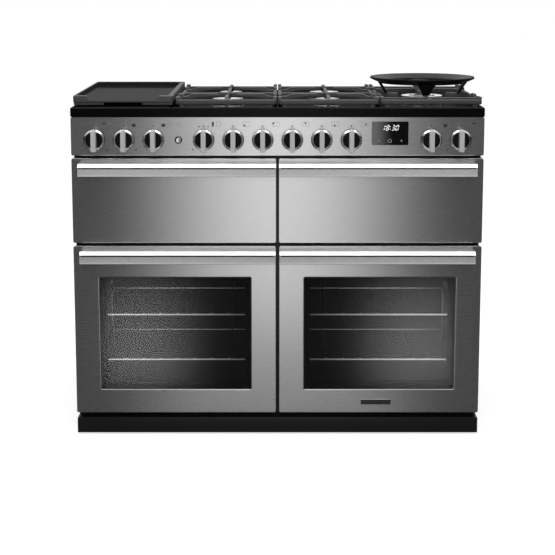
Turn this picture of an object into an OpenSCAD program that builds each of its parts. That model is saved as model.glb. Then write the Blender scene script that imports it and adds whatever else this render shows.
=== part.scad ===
// Dual fuel range cooker, 110 cm class: five gas burners, a hotplate zone with a griddle,
// two side-hinged fan ovens, a drop-down grill compartment and a storage drawer.
// Millimetres, +Z up, front towards -Y. The origin is on the floor under the middle of the whole cooker.

/* [Overall] */
// Width over the doors and the control panel
cooker_w = 1092; // [960:1:1200]
// Depth from the door fronts to the back edge of the hob
body_d = 608; // [580:1:660]
// How far the handles stand out from the door fronts
handle_out = 40; // [36:1:52]
// Gap between the floor and the plinth
plinth_gap = 4; // [2:1:12]
// Height of the plinth
plinth_h = 42; // [36:1:90]
// Gap between the plinth and the oven doors
plinth_door_gap = 14; // [10:1:24]
// Height of the two oven doors
low_front_h = 462; // [430:1:500]
// Gap between the oven doors and the fronts above them
row_gap = 8; // [7:1:12]
// Height of the grill door and the drawer front
up_front_h = 228; // [215:1:260]
// Gap between the upper fronts and the control panel
panel_gap = 7; // [4:1:12]
// Height of the control panel
panel_h = 103; // [92:1:130]
// Height of the hob tray's edge
hob_h = 25; // [20:1:36]
// Gap between the two oven doors
low_mid_gap = 8; // [4:1:14]
// Gap between the grill door and the drawer front
up_mid_gap = 6; // [4:1:14]
// Radius of the outer corners of the doors and the panel
corner_r = 5; // [2:1:8]

/* [Carcass] */
// Thickness of the folded steel sheet
sheet = 1.2; // [0.8:0.1:2]
// Thickness of the front frame
frame_t = 3; // [2:0.5:4]
// Thickness of the doors
door_t = 36; // [34:1:44]
// Gap between a closed door and the front frame
seal_gap = 6; // [5.5:0.5:9]
// How far the side panels stand back from the door edges
side_inset = 2; // [1:0.5:4]
// Depth of the recess behind the rear panel
rear_recess = 26; // [20:1:40]
// Height of the base frame's tubes
base_h = 26; // [22:1:34]
// Width of the base frame's tubes
rail_w = 34; // [28:1:44]
// Wall of the base frame's tubes
tube_t = 2; // [1.5:0.5:3]

/* [Feet and rollers] */
// Radius of a levelling foot's pad
foot_r = 20; // [15:1:24]
// Radius of a levelling foot's threaded stem
stem_r = 6; // [4:0.5:8]
// Distance of the feet and rollers from the cooker's sides
foot_inset = 91; // [80:1:140]
// Radius of a rear roller
roller_r = 17; // [14:1:20]
// Width of a rear roller
roller_w = 22; // [16:1:28]
// Radius of the roller's axle
axle_r = 4; // [3:0.5:5]

/* [Ovens] */
// Width of each cavity
cavity_w = 450; // [430:1:460]
// Depth of the oven cavities
oven_d = 430; // [410:1:450]
// Height of the oven cavities
oven_h = 380; // [350:1:395]
// Height of the cavity floor above the lower edge of the door
oven_lift = 35; // [30:1:45]
// Depth of the grill compartment and of the drawer housing
upper_d = 400; // [380:1:430]
// Height of the grill compartment and of the drawer housing
upper_h = 172; // [160:1:180]
// Height of their floor above the lower edge of the fronts
upper_lift = 28; // [24:1:34]
// Radius of the rods across a shelf
wire_r = 2; // [1.5:0.5:3]
// Pitch of the shelf rods
wire_pitch = 47; // [40:1:52]
// Number of rods between the sides of a shelf
wire_count = 7; // [5:1:8]
// Depth of a shelf
shelf_d = 326; // [290:1:340]
// Height of the lower shelf above the cavity floor
shelf_z_low = 95; // [80:1:110]
// Height of the upper shelf above the cavity floor
shelf_z_high = 222; // [190:1:240]
// How far the shelf fronts stand behind the front frame
shelf_back = 25; // [22:1:45]
// Radius of the fan blades
fan_r = 70; // [55:1:80]
// Number of fan blades
blade_count = 8; // [6:1:12]
// Depth of the fan's cover
cover_d = 42; // [38:1:50]
// Width and height of the fan's cover
cover_w = 290; // [270:1:310]
// Radius of the ring element's centre line
ring_r = 96; // [90:1:110]
// Radius of a heating element's tube
element_r = 3.5; // [3:0.5:4.5]

/* [Doors] */
// Width of an oven window
window_w = 410; // [380:1:420]
// Height of an oven window
window_h = 314; // [290:1:340]
// Height of the window's lower edge above the door's lower edge
window_lift = 64; // [58:1:75]
// Radius of the window's corners
window_r = 11; // [6:1:16]
// Thickness of the window panes
pane_t = 4; // [3:0.5:5]
// How far the inner window is smaller on each side
inner_margin = 18; // [14:1:26]
// Distance of an oven door's hinge axis from its outer edge
hinge_in = 14; // [13:1:16]
// Distance of an oven door's hinge axis from its front
hinge_back = 16; // [15:1:18]
// Radius of the hinge pins
pin_r = 4; // [3:0.5:4.5]
// Distance of the grill door's hinge axis from its front and lower edge
drop_in = 12; // [11:0.5:13]
// Thickness of the doors' inner panels
liner_t = 2; // [1:0.5:4]
// Length of the rectangular badge plate
badge_w = 84; // [60:1:100]
// Height of the badge plate
badge_h = 16; // [12:1:20]

/* [Handles] */
// Height of a handle's front face
handle_h = 31; // [28:1:36]
// Thickness of a handle's folded bar
handle_t = 5; // [4:0.5:7]
// Distance from a handle's top to the top of its door
handle_drop = 15; // [12:1:24]
// Distance from a handle's outer end to the outer edge of its door
handle_end = 21; // [16:1:30]

/* [Controls] */
// Distance between neighbouring knobs
knob_pitch = 78; // [70:0.5:84]
// Distance of the two end knobs from the panel's ends
knob_end = 62; // [56:1:76]
// Height of the knob axes above the panel's lower edge
knob_z = 42; // [38:1:50]
// Radius of a knob's skirt
skirt_r = 28.5; // [25:0.5:31]
// Depth of a knob's skirt
skirt_t = 9; // [7:0.5:12]
// Width of a knob's grip bar
grip_w = 12.6; // [10:0.2:16]
// Distance from the panel to the front of the grip bar
grip_out = 32; // [26:1:36]
// Radius of a spindle
spindle_r = 3; // [2.5:0.5:4]
// Radius of the ignition button
button_r = 7.4; // [6:0.2:8.5]
// Travel of the ignition button
button_travel = 3.5; // [2.5:0.5:5]
// Width of the display glass
display_w = 97; // [80:1:110]
// Height of the display glass
display_h = 62.5; // [50:0.5:70]
// Distance of the display's upper edge from the hob
display_drop = 12; // [10:0.5:20]

/* [Hob] */
// How far the hob tray overhangs the sides
hob_over = 1.5; // [1:0.5:4]
// Radius of the hob tray's corners in plan
hob_r = 10; // [6:1:20]
// Width of the hob tray's raised edge
hob_edge = 12; // [10:1:20]
// Depth of the well inside the raised edge
well_d = 4; // [3:0.5:6]
// Thickness of the hob tray's steel
hob_t = 2; // [1.5:0.5:4]
// Distance of the griddle and the pan supports from the hob's front edge
support_in = 40; // [30:1:60]
// Depth of the griddle and of the pan supports
support_d = 488; // [460:1:510]
// Gap between neighbouring supports
support_gap = 3; // [2:0.5:5]
// Width of a pan support's bars
bar_w = 10; // [8:0.5:13]
// Height of a pan support's bars
bar_h = 13; // [10:1:16]
// Height of the bars' tops above the hob tray's edge
bar_top = 17; // [15:1:24]
// Height of the pan rests above the bars
rest_h = 7; // [4:1:10]
// Distance of the front burners from the front of the supports
burner_front = 124; // [115:1:130]
// Distance of the rear burners from the back of the supports
burner_rear = 124; // [115:1:130]
// Radius of a large burner
burner_r_large = 46; // [40:1:50]
// Radius of a small burner
burner_r_small = 36; // [28:1:40]
// Radius of the wok burner's outer ring
burner_r_wok = 62; // [55:1:68]
// Length of the hotplate glass
hotplate_d = 420; // [380:1:440]
// Width of the hotplate glass
hotplate_w = 236; // [220:1:245]
// Height of the griddle's rim above the hob tray's edge
griddle_h = 28; // [24:1:36]
// Thickness of the griddle's walls
griddle_wall = 9; // [7:1:12]
// Outer radius of the wok cradle
cradle_r = 147; // [130:1:150]
// Height of the wok cradle's rim above the hob tray's edge
cradle_h = 63; // [55:1:75]
// Radius of the wok cradle's opening
cradle_inner = 117; // [100:1:120]

/* [Connections] */
// Bore radius of the half inch gas inlet
inlet_r = 9.3; // [9.3:0.1:12]
// Length of the gas inlet's thread
inlet_l = 15; // [12:1:18]
// Radius of the cable entry
cable_r = 10; // [8:0.5:13]

/* [Hidden] */
$fn = 48;

// Clearances: between loose pieces, round a turning pin, and the overlap that makes a cut run through
loose = 0.3;
running = 0.05;
through = 1;

// Planes from front to back
front_y = handle_out - (body_d + handle_out) / 2;
back_y = (body_d + handle_out) / 2;
door_back_y = front_y + door_t;
frame_y = door_back_y + seal_gap;
shell_y = frame_y + frame_t;
rear_y = back_y - rear_recess;
oven_back_y = shell_y + oven_d;
side_back_y = back_y - 2;
upper_back_y = shell_y + upper_d;
roller_y = rear_y - sheet - rail_w - roller_r - 3;
foot_y = shell_y + rail_w / 2;

// Heights
plinth_top = plinth_gap + plinth_h;
low_z = plinth_top + plinth_door_gap;
low_top = low_z + low_front_h;
up_z = low_top + row_gap;
up_top = up_z + up_front_h;
panel_z = up_top + panel_gap;
hob_z = panel_z + panel_h;
edge_z = hob_z + hob_h;
well_z = edge_z - well_d;
base_top = plinth_top + 8;
base_z = base_top - base_h;
stem_top = base_top - tube_t - 2;
oven_z = low_z + oven_lift;
upper_z = up_z + upper_lift;
knob_axis_z = panel_z + knob_z;
display_top = hob_z - display_drop;
display_z = display_top - display_h;
handle_low_top = low_top - handle_drop;
handle_up_top = up_top - handle_drop;

// Widths
half_w = cooker_w / 2;
support_x = half_w - foot_inset;
side_x = half_w - side_inset;
inner_x = side_x - sheet;
hob_x = half_w + hob_over;
hob_front_y = front_y - hob_over;
low_mid_x = low_mid_gap / 2;
up_mid_x = up_mid_gap / 2;
oven_x = (low_mid_x + half_w) / 2;
knob_end_x = half_w - knob_end;
pipe_x = side_x - 24;
support_w = (2 * hob_x - 5 * support_gap) / 4;
support_y = hob_front_y + support_in;
support_back_y = support_y + support_d;

// Small details of the pieces
bracket_t = 3;
bracket_w = 18;
notch_h = 6;
notch_w = 34;
fan_z = oven_z + oven_h / 2;
motor_r = 32;
motor_l = 46;
shaft_r = 4;
hub_r = 14;
rack_wire_r = 2.5;
shelf_rail_r = 3.5;
wire_rise = 3;
wire_end = 2;
runner_h = 12;
runner_t = 5;
drawer_wall = 1.5;
drawer_lift = 4;
seam = 0.2;
element_drop = 22;
tail_turn = 8;
tail_x = ring_r * sin(tail_turn);
tail_z = ring_r * cos(tail_turn);
tail_r = element_r - 0.4;
rail_r = 9;
rail_y = front_y + 74;
rail_z = knob_axis_z - 6;
tap_r = 13;
switch_w = 34;
switch_d = 44;
bush_r = 6;
knob_gap = 0.6;
bezel_r = 9.6;
bezel_t = 3;
terminal_w = 120;
terminal_h = 70;
foot_in = 12;
leg_t = 8;
leg_top_w = 58;
leg_foot_w = 22;
leg_foot_r = 98;
cradle_slope = 13;
cradle_edge = 3;
cradle_wall = 5;
inner_corner_r = max(0.5, corner_r - sheet);
panel_flange = 30;
hob_wall = 5;
rebate = 1;
dish_margin = 22;
dish_edge = 12;
dish_h = 20;
dish_wall = 6;
glass_t = 4;
spindle_in = 38;
spindle_out = 16;
clock_w = 88;
clock_h = 50;
button_body = 28;
terminal_in = 100;
terminal_drop = 260;
terminal_wall = 3;
cable_l = 12;
badge_in = 8;
badge_lift = 22;
ledge_z = 34;
pan_d = 330;
pan_edge = 14;
pan_rim_t = 2;
pan_front = 20;
pan_deep = 22;
pan_side = 4;
pane_over = 12;
pane_under = 4;
box_wall = 2;
seal_out = 12;
seal_in = 4;
seal_r = 14;
hinge_block_w = 6;
hinge_block_h = 26;
hinge_slot = 16;
display_bias = 0.06;
runner_z = 70;
handle_end_t = 4;
griddle_side = 4;
griddle_ear = 36;
griddle_dip = 13;
griddle_pad = 8;
rest_l = 40;
finger_in = 26;
finger_out = 98;
cross_out = 160;
foot_w = 12;
foot_l = 14;

// The twelve places along the control panel, from left to right
knob_left = [for (i = [0:2]) -knob_end_x + i * knob_pitch];
knob_middle = [for (i = [0:5]) (i - 2.5) * knob_pitch];
knob_right = [knob_end_x - knob_pitch, knob_end_x];
button_x = (knob_left[2] + knob_middle[0]) / 2;
display_room = knob_right[0] - knob_middle[5] - 2 * skirt_r - display_w;
display_x = (knob_middle[5] + knob_right[0]) / 2 - display_bias * display_room;
switch_xs = concat(knob_left, [knob_middle[0]], knob_right);
tap_xs = [for (i = [1:5]) knob_middle[i]];

// The middle of each support, and of each burner: x, y and radius
support_xs = [for (i = [0:3]) (i - 1.5) * (support_w + support_gap)];
burner_front_y = support_y + burner_front;
burner_rear_y = support_back_y - burner_rear;
wok_y = support_y + support_d / 2;
burners = [
    [support_xs[1], burner_front_y, burner_r_large],
    [support_xs[1], burner_rear_y, burner_r_small],
    [support_xs[2], burner_front_y, burner_r_small],
    [support_xs[2], burner_rear_y, burner_r_large],
    [support_xs[3], wok_y, burner_r_wok]
];
burner_h = 9;
cap_h = 7;
throat_r = 20;

// A block between two opposite corners
module block(low, high) {
    translate(low) cube(high - low);
}

// Round rods along each axis
module rod_x(x0, x1, y, z, r) {
    translate([x0, y, z]) rotate([0, 90, 0]) cylinder(r = r, h = x1 - x0);
}

module rod_y(y0, y1, x, z, r) {
    translate([x, y0, z]) rotate([-90, 0, 0]) cylinder(r = r, h = y1 - y0);
}

module rod_z(z0, z1, x, y, r) {
    translate([x, y, z0]) cylinder(r = r, h = z1 - z0);
}

// An upright plate between y0 and y1 with round corners
module plate_y(x0, x1, z0, z1, y0, y1, r) {
    block([x0 + r, y0, z0], [x1 - r, y1, z1]);
    block([x0, y0, z0 + r], [x1, y1, z1 - r]);
    for (x = [x0 + r, x1 - r], z = [z0 + r, z1 - r]) rod_y(y0, y1, x, z, r);
}

// A level plate between z0 and z1 with round corners
module plate_z(x0, x1, y0, y1, z0, z1, r) {
    block([x0 + r, y0, z0], [x1 - r, y1, z1]);
    block([x0, y0 + r, z0], [x1, y1 - r, z1]);
    for (x = [x0 + r, x1 - r], y = [y0 + r, y1 - r]) rod_z(z0, z1, x, y, r);
}

// The same shape on the left as drawn for the right
module on_side(side) {
    if (side < 0) mirror([1, 0, 0]) children();
    else children();
}

// A closed square tube between two opposite corners
module tube(low, high, wall) {
    difference() {
        block(low, high);
        block(low + [wall, wall, wall], high - [wall, wall, wall]);
    }
}

// Base frame: closed tubes under a floor pan, with foot bushes and roller cheeks
module base_frame() {
    cheek_x = roller_w / 2 + loose + frame_t / 2;
    color("dimgray") difference() {
        union() {
            block([-inner_x, shell_y, base_top - sheet], [inner_x, rear_y - sheet, base_top]);
            for (y = [shell_y, rear_y - sheet - rail_w])
                tube([-inner_x, y, base_z], [inner_x, y + rail_w, base_top], tube_t);
            for (x = [-inner_x, -rail_w / 2, inner_x - rail_w])
                tube([x, shell_y + rail_w - tube_t, base_z],
                    [x + rail_w, rear_y - sheet - rail_w + tube_t, base_top], tube_t);
            for (x = [-support_x, support_x]) {
                rod_z(base_z, base_top - 1, x, foot_y, stem_r + 4);
                for (s = [-1, 1]) translate([x + s * cheek_x, roller_y, 0])
                    block([-frame_t / 2, -11, roller_r - axle_r - 4], [frame_t / 2, 11, base_top - sheet / 2]);
            }
        }
        for (x = [-support_x, support_x]) {
            rod_z(base_z - through, stem_top, x, foot_y, stem_r + running);
            rod_x(x - roller_w, x + roller_w, roller_y, roller_r, axle_r + running);
        }
    }
}

// Side panels, from the base to the hob
module side_panels() {
    color("gainsboro") for (s = [-1, 1]) on_side(s)
        block([inner_x, shell_y, base_z], [side_x, side_back_y, hob_z]);
}

// Rear panel in its recess, with holes for the gas pipe, the cable and the wall brackets
module rear_panel() {
    color("silver") difference() {
        block([-inner_x, rear_y - sheet, base_z], [inner_x, rear_y, hob_z]);
        rod_y(rear_y - sheet - through, rear_y + through, pipe_x, rail_z, rail_r + loose);
        for (x = [-support_x, support_x])
            rod_y(rear_y - sheet - through, rear_y + through, x, hob_z - 60, 3);
    }
}

// Plinth: a folded kick panel with a top flange that reaches the front frame
module plinth() {
    x = half_w - 1;
    color("#141414") {
        difference() {
            block([-x, front_y, plinth_gap], [x, frame_y, plinth_top]);
            block([sheet - x, front_y + sheet, plinth_gap - through],
                [x - sheet, frame_y + through, plinth_top - sheet]);
        }
    }
}

// Front frame: one plate with an opening for each cavity
module front_frame() {
    color("#202020") difference() {
        block([-side_x, frame_y, base_z], [side_x, shell_y, panel_z]);
        for (s = [-1, 1]) on_side(s) {
            block([oven_x - cavity_w / 2, frame_y - through, oven_z],
                [oven_x + cavity_w / 2, shell_y + through, oven_z + oven_h]);
            block([oven_x - cavity_w / 2, frame_y - through, upper_z],
                [oven_x + cavity_w / 2, shell_y + through, upper_z + upper_h]);
        }
    }
}

// Levelling feet: a pad on a stem that screws into the base frame
module levelling_feet() {
    pad_t = 7;
    color("#303030") for (x = [-support_x, support_x]) {
        rod_z(0, pad_t, x, foot_y, foot_r);
        rod_z(pad_t - 1, stem_top, x, foot_y, stem_r);
    }
}

// Rear rollers with their axles
module rear_rollers() {
    axle_l = roller_w / 2 + loose + frame_t + 2;
    color("#3a3a3a") for (x = [-support_x, support_x]) {
        rod_x(x - roller_w / 2, x + roller_w / 2, roller_y, roller_r, roller_r);
        rod_x(x - axle_l, x + axle_l, roller_y, roller_r, axle_r);
    }
}

// A cavity: five walls, open at the front
module cavity(z0, h, y1) {
    difference() {
        block([oven_x - cavity_w / 2 - sheet, shell_y, z0 - sheet],
            [oven_x + cavity_w / 2 + sheet, y1 + sheet, z0 + h + sheet]);
        block([oven_x - cavity_w / 2, shell_y - through, z0], [oven_x + cavity_w / 2, y1, z0 + h]);
    }
}

// Oven liner, with holes for the fan shaft and the tails of the ring element
module oven_liner() {
    difference() {
        cavity(oven_z, oven_h, oven_back_y);
        rod_y(oven_back_y - through, oven_back_y + sheet + through, oven_x, fan_z, shaft_r + 2);
        for (s = [-1, 1])
            rod_y(oven_back_y - through, oven_back_y + sheet + through, oven_x + s * tail_x,
                fan_z + tail_z, tail_r + running);
    }
}

module left_oven_liner() {
    color("#2c2c30") on_side(-1) oven_liner();
}

module right_oven_liner() {
    color("#2c2c30") oven_liner();
}

// Grill compartment, with ledges for the pan
module grill_chamber() {
    color("#2c2c30") on_side(-1) {
        difference() {
            cavity(upper_z, upper_h, upper_back_y);
            for (s = [-1, 1])
                rod_y(upper_back_y - through, upper_back_y + sheet + through, oven_x + s * 150,
                    upper_z + upper_h - element_drop, element_r + running);
        }
        for (s = [-1, 1]) translate([oven_x + s * (cavity_w - pan_edge) / 2, 0, upper_z + ledge_z])
            block([-pan_edge / 2, shell_y + 6, -3], [pan_edge / 2, upper_back_y, 0]);
    }
}

// Drawer housing, with the fixed halves of the runners
module drawer_chamber() {
    color("#3c3c3c") {
        cavity(upper_z, upper_h, upper_back_y);
        for (s = [-1, 1]) translate([oven_x + s * (cavity_w - runner_t) / 2, 0, upper_z + runner_z])
            block([-runner_t / 2, shell_y + 4, -runner_h / 2], [runner_t / 2, upper_back_y, runner_h / 2]);
    }
}

// One wire rack for the side of an oven, with a pair of rails for each shelf
module side_rack(side) {
    y0 = shell_y + 16;
    y1 = oven_back_y - cover_d - 12;
    upright_x = oven_x + side * (cavity_w / 2 - rack_wire_r);
    rail_x = upright_x - side * (2 * rack_wire_r - 0.6);
    for (y = [y0 + 8, (y0 + y1) / 2, y1 - 8]) rod_z(oven_z, oven_z + oven_h - 30, upright_x, y, rack_wire_r);
    for (z = [shelf_z_low, shelf_z_high], s = [-1, 1])
        rod_y(y0, y1, rail_x, oven_z + z + s * (shelf_rail_r + rack_wire_r + loose), rack_wire_r);
}

module shelf_racks() {
    color("silver") for (s = [-1, 1]) on_side(s)
        for (t = [-1, 1]) side_rack(t);
}

// Fan cover: a pressed box with slots round its middle and along its sides
module fan_cover() {
    y0 = oven_back_y - cover_d;
    half = cover_w / 2;
    difference() {
        block([oven_x - half, y0, fan_z - half], [oven_x + half, oven_back_y, fan_z + half]);
        block([oven_x - half + sheet, y0 + sheet, fan_z - half + sheet],
            [oven_x + half - sheet, oven_back_y + through, fan_z + half - sheet]);
        for (i = [0:15])
            translate([oven_x, y0, fan_z]) rotate([0, i * 22.5, 0])
                block([18, -through, -2.5], [fan_r - 8, sheet + through, 2.5]);
        for (i = [0:5], s = [-1, 1])
            translate([oven_x + s * (half - 20), y0, fan_z + (i - 2.5) * 34])
                block([-7, -through, -10], [7, sheet + through, 10]);
    }
}

module fan_covers() {
    color("#38383c") for (s = [-1, 1]) on_side(s) fan_cover();
}

// Fan motors on the back of the oven liners
module fan_motors() {
    y0 = oven_back_y + sheet;
    color("silver") for (s = [-1, 1]) on_side(s) difference() {
        union() {
            rod_y(y0, y0 + motor_l, oven_x, fan_z, motor_r);
            block([oven_x - motor_r - 14, y0, fan_z - 10], [oven_x + motor_r + 14, y0 + 3, fan_z + 10]);
        }
        rod_y(y0 - through, y0 + motor_l - 6, oven_x, fan_z, shaft_r + running);
    }
}

// Convection fan: hub, blades and shaft
module fan() {
    y0 = oven_back_y - cover_d + 9;
    rod_y(y0, oven_back_y - 8, oven_x, fan_z, hub_r);
    rod_y(y0 + 2, oven_back_y + motor_l - 8, oven_x, fan_z, shaft_r);
    rod_y(oven_back_y - 10, oven_back_y - 8, oven_x, fan_z, fan_r);
    for (i = [0:blade_count - 1]) translate([oven_x, 0, fan_z]) rotate([0, i * 360 / blade_count, 0])
        block([hub_r - 2, y0 + 3, -0.75], [fan_r, oven_back_y - 9, 0.75]);
}

module left_fan() {
    color("silver") on_side(-1) fan();
}

module right_fan() {
    color("silver") fan();
}

// Ring elements round the fans, and the grill element on its hangers
module heating_elements() {
    ring_y = oven_back_y - cover_d / 2;
    y0 = shell_y + 50;
    y1 = upper_back_y - 40;
    gz = upper_z + upper_h - element_drop;
    tails = [for (i = [0:6]) oven_x - 150 + i * 50];
    color("#55504a") {
        for (s = [-1, 1]) on_side(s) {
            translate([oven_x, ring_y, fan_z]) rotate([-90, 0, 0])
                rotate_extrude() translate([ring_r, 0]) circle(r = element_r);
            for (t = [-1, 1])
                rod_y(ring_y, oven_back_y + sheet + 8, oven_x + t * tail_x, fan_z + tail_z, tail_r);
        }
        on_side(-1) {
            for (x = tails) rod_y(y0, y1, x, gz, element_r);
            for (i = [0:5]) translate([tails[i] + 25, i % 2 == 0 ? y0 : y1, gz])
                rotate([0, 0, i % 2 == 0 ? 180 : 0]) rotate_extrude(angle = 180)
                    translate([25, 0]) circle(r = element_r);
            for (x = [tails[0], tails[6]]) rod_y(y1 - 1, upper_back_y + sheet + 8, x, gz, element_r);
            for (y = [y0 + 30, y1 - 30])
                block([tails[0] - 8, y, gz + element_r], [tails[6] + 8, y + 12, upper_z + upper_h]);
        }
    }
}

// Hob tray: a pressed steel top with a raised edge, a well and holes for burners and hotplate
module hob_top() {
    under_z = well_z - hob_t;
    web = 3;
    color("#0c0c0c") difference() {
        plate_z(-hob_x, hob_x, hob_front_y, back_y, hob_z, edge_z, hob_r);
        plate_z(hob_edge - hob_x, hob_x - hob_edge, hob_front_y + hob_edge, back_y - hob_edge,
            well_z, edge_z + through, hob_r);
        block([hob_wall - hob_x, hob_front_y + hob_wall, hob_z - through],
            [hob_x - hob_wall, rear_y - sheet - web, under_z]);
        block([hob_wall - hob_x, rear_y + web, hob_z - through],
            [hob_x - hob_wall, back_y - hob_wall, under_z]);
        for (b = burners) rod_z(hob_z, edge_z, b[0], b[1], throat_r + loose);
        translate([support_xs[0], wok_y, 0]) {
            block([dish_edge - hotplate_w / 2, dish_edge - hotplate_d / 2, hob_z],
                [hotplate_w / 2 - dish_edge, hotplate_d / 2 - dish_edge, edge_z]);
            block([-hotplate_w / 2 - loose, -hotplate_d / 2 - loose, well_z - rebate],
                [hotplate_w / 2 + loose, hotplate_d / 2 + loose, edge_z]);
        }
    }
}

// Burner bases: a ring with a throat through the hob; the wok burner has a second ring
module burner_bases() {
    color("#8a8a86") for (b = burners) {
        rod_z(well_z, well_z + 4, b[0], b[1], b[2]);
        rod_z(well_z + 4, well_z + burner_h, b[0], b[1], b[2] - 6);
        rod_z(hob_z - 20, well_z, b[0], b[1], throat_r);
    }
}

// Burner caps that lie loose on the bases
module burner_caps() {
    color("#101010") for (b = burners) {
        r = b[2] > burner_r_large ? b[2] * 0.5 : b[2] - 4;
        rod_z(well_z + burner_h, well_z + burner_h + cap_h - 2, b[0], b[1], r);
        rod_z(well_z + burner_h + cap_h - 2, well_z + burner_h + cap_h, b[0], b[1], r - 3);
        if (b[2] > burner_r_large) difference() {
            rod_z(well_z + burner_h, well_z + burner_h + cap_h - 2, b[0], b[1], b[2] - 4);
            rod_z(well_z, well_z + burner_h + cap_h, b[0], b[1], r + 6);
        }
    }
}

// Ceramic glass of the hotplate zone, with the radiant elements in their dishes below
module hotplate() {
    r = hotplate_w / 2 - dish_margin;
    top = well_z - rebate;
    translate([support_xs[0], wok_y, 0]) {
        color("#080808") block([-hotplate_w / 2, -hotplate_d / 2, top],
            [hotplate_w / 2, hotplate_d / 2, top + glass_t]);
        color("#b8b4a8") for (s = [-1, 1]) difference() {
            rod_z(top - dish_h, top, 0, s * (r + 2), r);
            rod_z(top - dish_h + dish_wall, top + through, 0, s * (r + 2), r - dish_wall);
        }
    }
}

// Control panel: a folded front with a hole for each control and a window for the clock
module control_panel() {
    color("silver") difference() {
        union() {
            plate_y(-half_w, half_w, panel_z, hob_z, front_y, front_y + sheet, corner_r);
            difference() {
                block([corner_r - half_w, front_y + sheet, panel_z], [half_w - corner_r, shell_y, hob_z]);
                block([corner_r + sheet - half_w, front_y, panel_z + sheet],
                    [half_w - corner_r - sheet, shell_y + through, hob_z - sheet]);
                block([corner_r + sheet - half_w, front_y + panel_flange, panel_z + sheet],
                    [half_w - corner_r - sheet, shell_y + through, hob_z + through]);
            }
        }
        for (x = concat(switch_xs, tap_xs))
            rod_y(front_y - through, front_y + sheet + through, x, knob_axis_z, bush_r + loose);
        rod_y(front_y - through, front_y + sheet + through, button_x, knob_axis_z, button_r + 1);
        block([display_x - display_w / 2 + 6, front_y - through, display_z + 6],
            [display_x + display_w / 2 - 6, front_y + sheet + through, display_top - 6]);
    }
}

// Glass of the clock and timer
module display_glass() {
    color("#060606") plate_y(display_x - display_w / 2, display_x + display_w / 2,
        display_z, display_top, front_y - 2, front_y, 3);
}

// Gas rail with five taps, and its pipe to the rear
module gas_taps() {
    color("#b59a55") {
        difference() {
            union() {
                rod_x(tap_xs[0] - 24, pipe_x, rail_y, rail_z, rail_r);
                rod_y(rail_y, rear_y, pipe_x, rail_z, rail_r);
                translate([pipe_x, rail_y, rail_z]) sphere(r = rail_r);
            }
            rod_y(rail_y, rear_y + through, pipe_x, rail_z, rail_r - 2);
        }
        for (x = tap_xs) difference() {
            union() {
                rod_y(front_y + sheet, rail_y - rail_r - running, x, knob_axis_z, tap_r);
                rod_y(front_y - 1, front_y + sheet + 1, x, knob_axis_z, bush_r);
            }
            rod_y(front_y - 2, front_y + spindle_in + 2, x, knob_axis_z, spindle_r + running);
        }
    }
}

// Switch and thermostat bodies, the clock module and the ignition switch with its bezel
module control_switches() {
    y0 = front_y + sheet;
    color("#30343a") {
        for (x = switch_xs) difference() {
            union() {
                block([x - switch_w / 2, y0, knob_axis_z - switch_w / 2],
                    [x + switch_w / 2, y0 + switch_d, knob_axis_z + switch_w / 2]);
                rod_y(front_y - 1, y0 + 1, x, knob_axis_z, bush_r);
            }
            rod_y(front_y - 2, front_y + spindle_in + 2, x, knob_axis_z, spindle_r + running);
        }
        block([display_x - clock_w / 2, y0, display_top - 6 - clock_h],
            [display_x + clock_w / 2, y0 + 34, display_top - 6]);
        difference() {
            rod_y(front_y - bezel_t, front_y, button_x, knob_axis_z, bezel_r);
            rod_y(front_y - bezel_t - 1, front_y + 1, button_x, knob_axis_z, button_r + running);
        }
        difference() {
            block([button_x - button_body / 2, y0, knob_axis_z - button_body / 2],
                [button_x + button_body / 2, y0 + 30, knob_axis_z + button_body / 2]);
            rod_y(front_y, y0 + 14, button_x, knob_axis_z, button_r + running);
        }
    }
}

// One knob: skirt, face and grip bar, with the spindle that it turns
module knob(x) {
    y0 = front_y - 1 - knob_gap;
    face_y = y0 - skirt_t;
    color("silver") difference() {
        union() {
            rod_y(face_y, y0, x, knob_axis_z, skirt_r);
            block([x - grip_w / 2, front_y - grip_out, knob_axis_z - skirt_r - 1],
                [x + grip_w / 2, face_y + 1, knob_axis_z + skirt_r - 1]);
        }
        rod_y(y0 - spindle_out, y0 + through, x, knob_axis_z, spindle_r + running);
    }
    color("gray") rod_y(y0 - spindle_out, front_y + spindle_in, x, knob_axis_z, spindle_r);
}

module grill_knob() { knob(knob_left[0]); }
module left_function_knob() { knob(knob_left[1]); }
module left_oven_knob() { knob(knob_left[2]); }
module hotplate_knob() { knob(knob_middle[0]); }
module gas_knob_1() { knob(tap_xs[0]); }
module gas_knob_2() { knob(tap_xs[1]); }
module gas_knob_3() { knob(tap_xs[2]); }
module gas_knob_4() { knob(tap_xs[3]); }
module gas_knob_5() { knob(tap_xs[4]); }
module right_oven_knob() { knob(knob_right[0]); }
module right_function_knob() { knob(knob_right[1]); }

// Ignition button in its bezel
module ignition_button() {
    color("silver") rod_y(front_y - bezel_t - button_travel - 1, front_y + sheet + 8,
        button_x, knob_axis_z, button_r);
}

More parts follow.
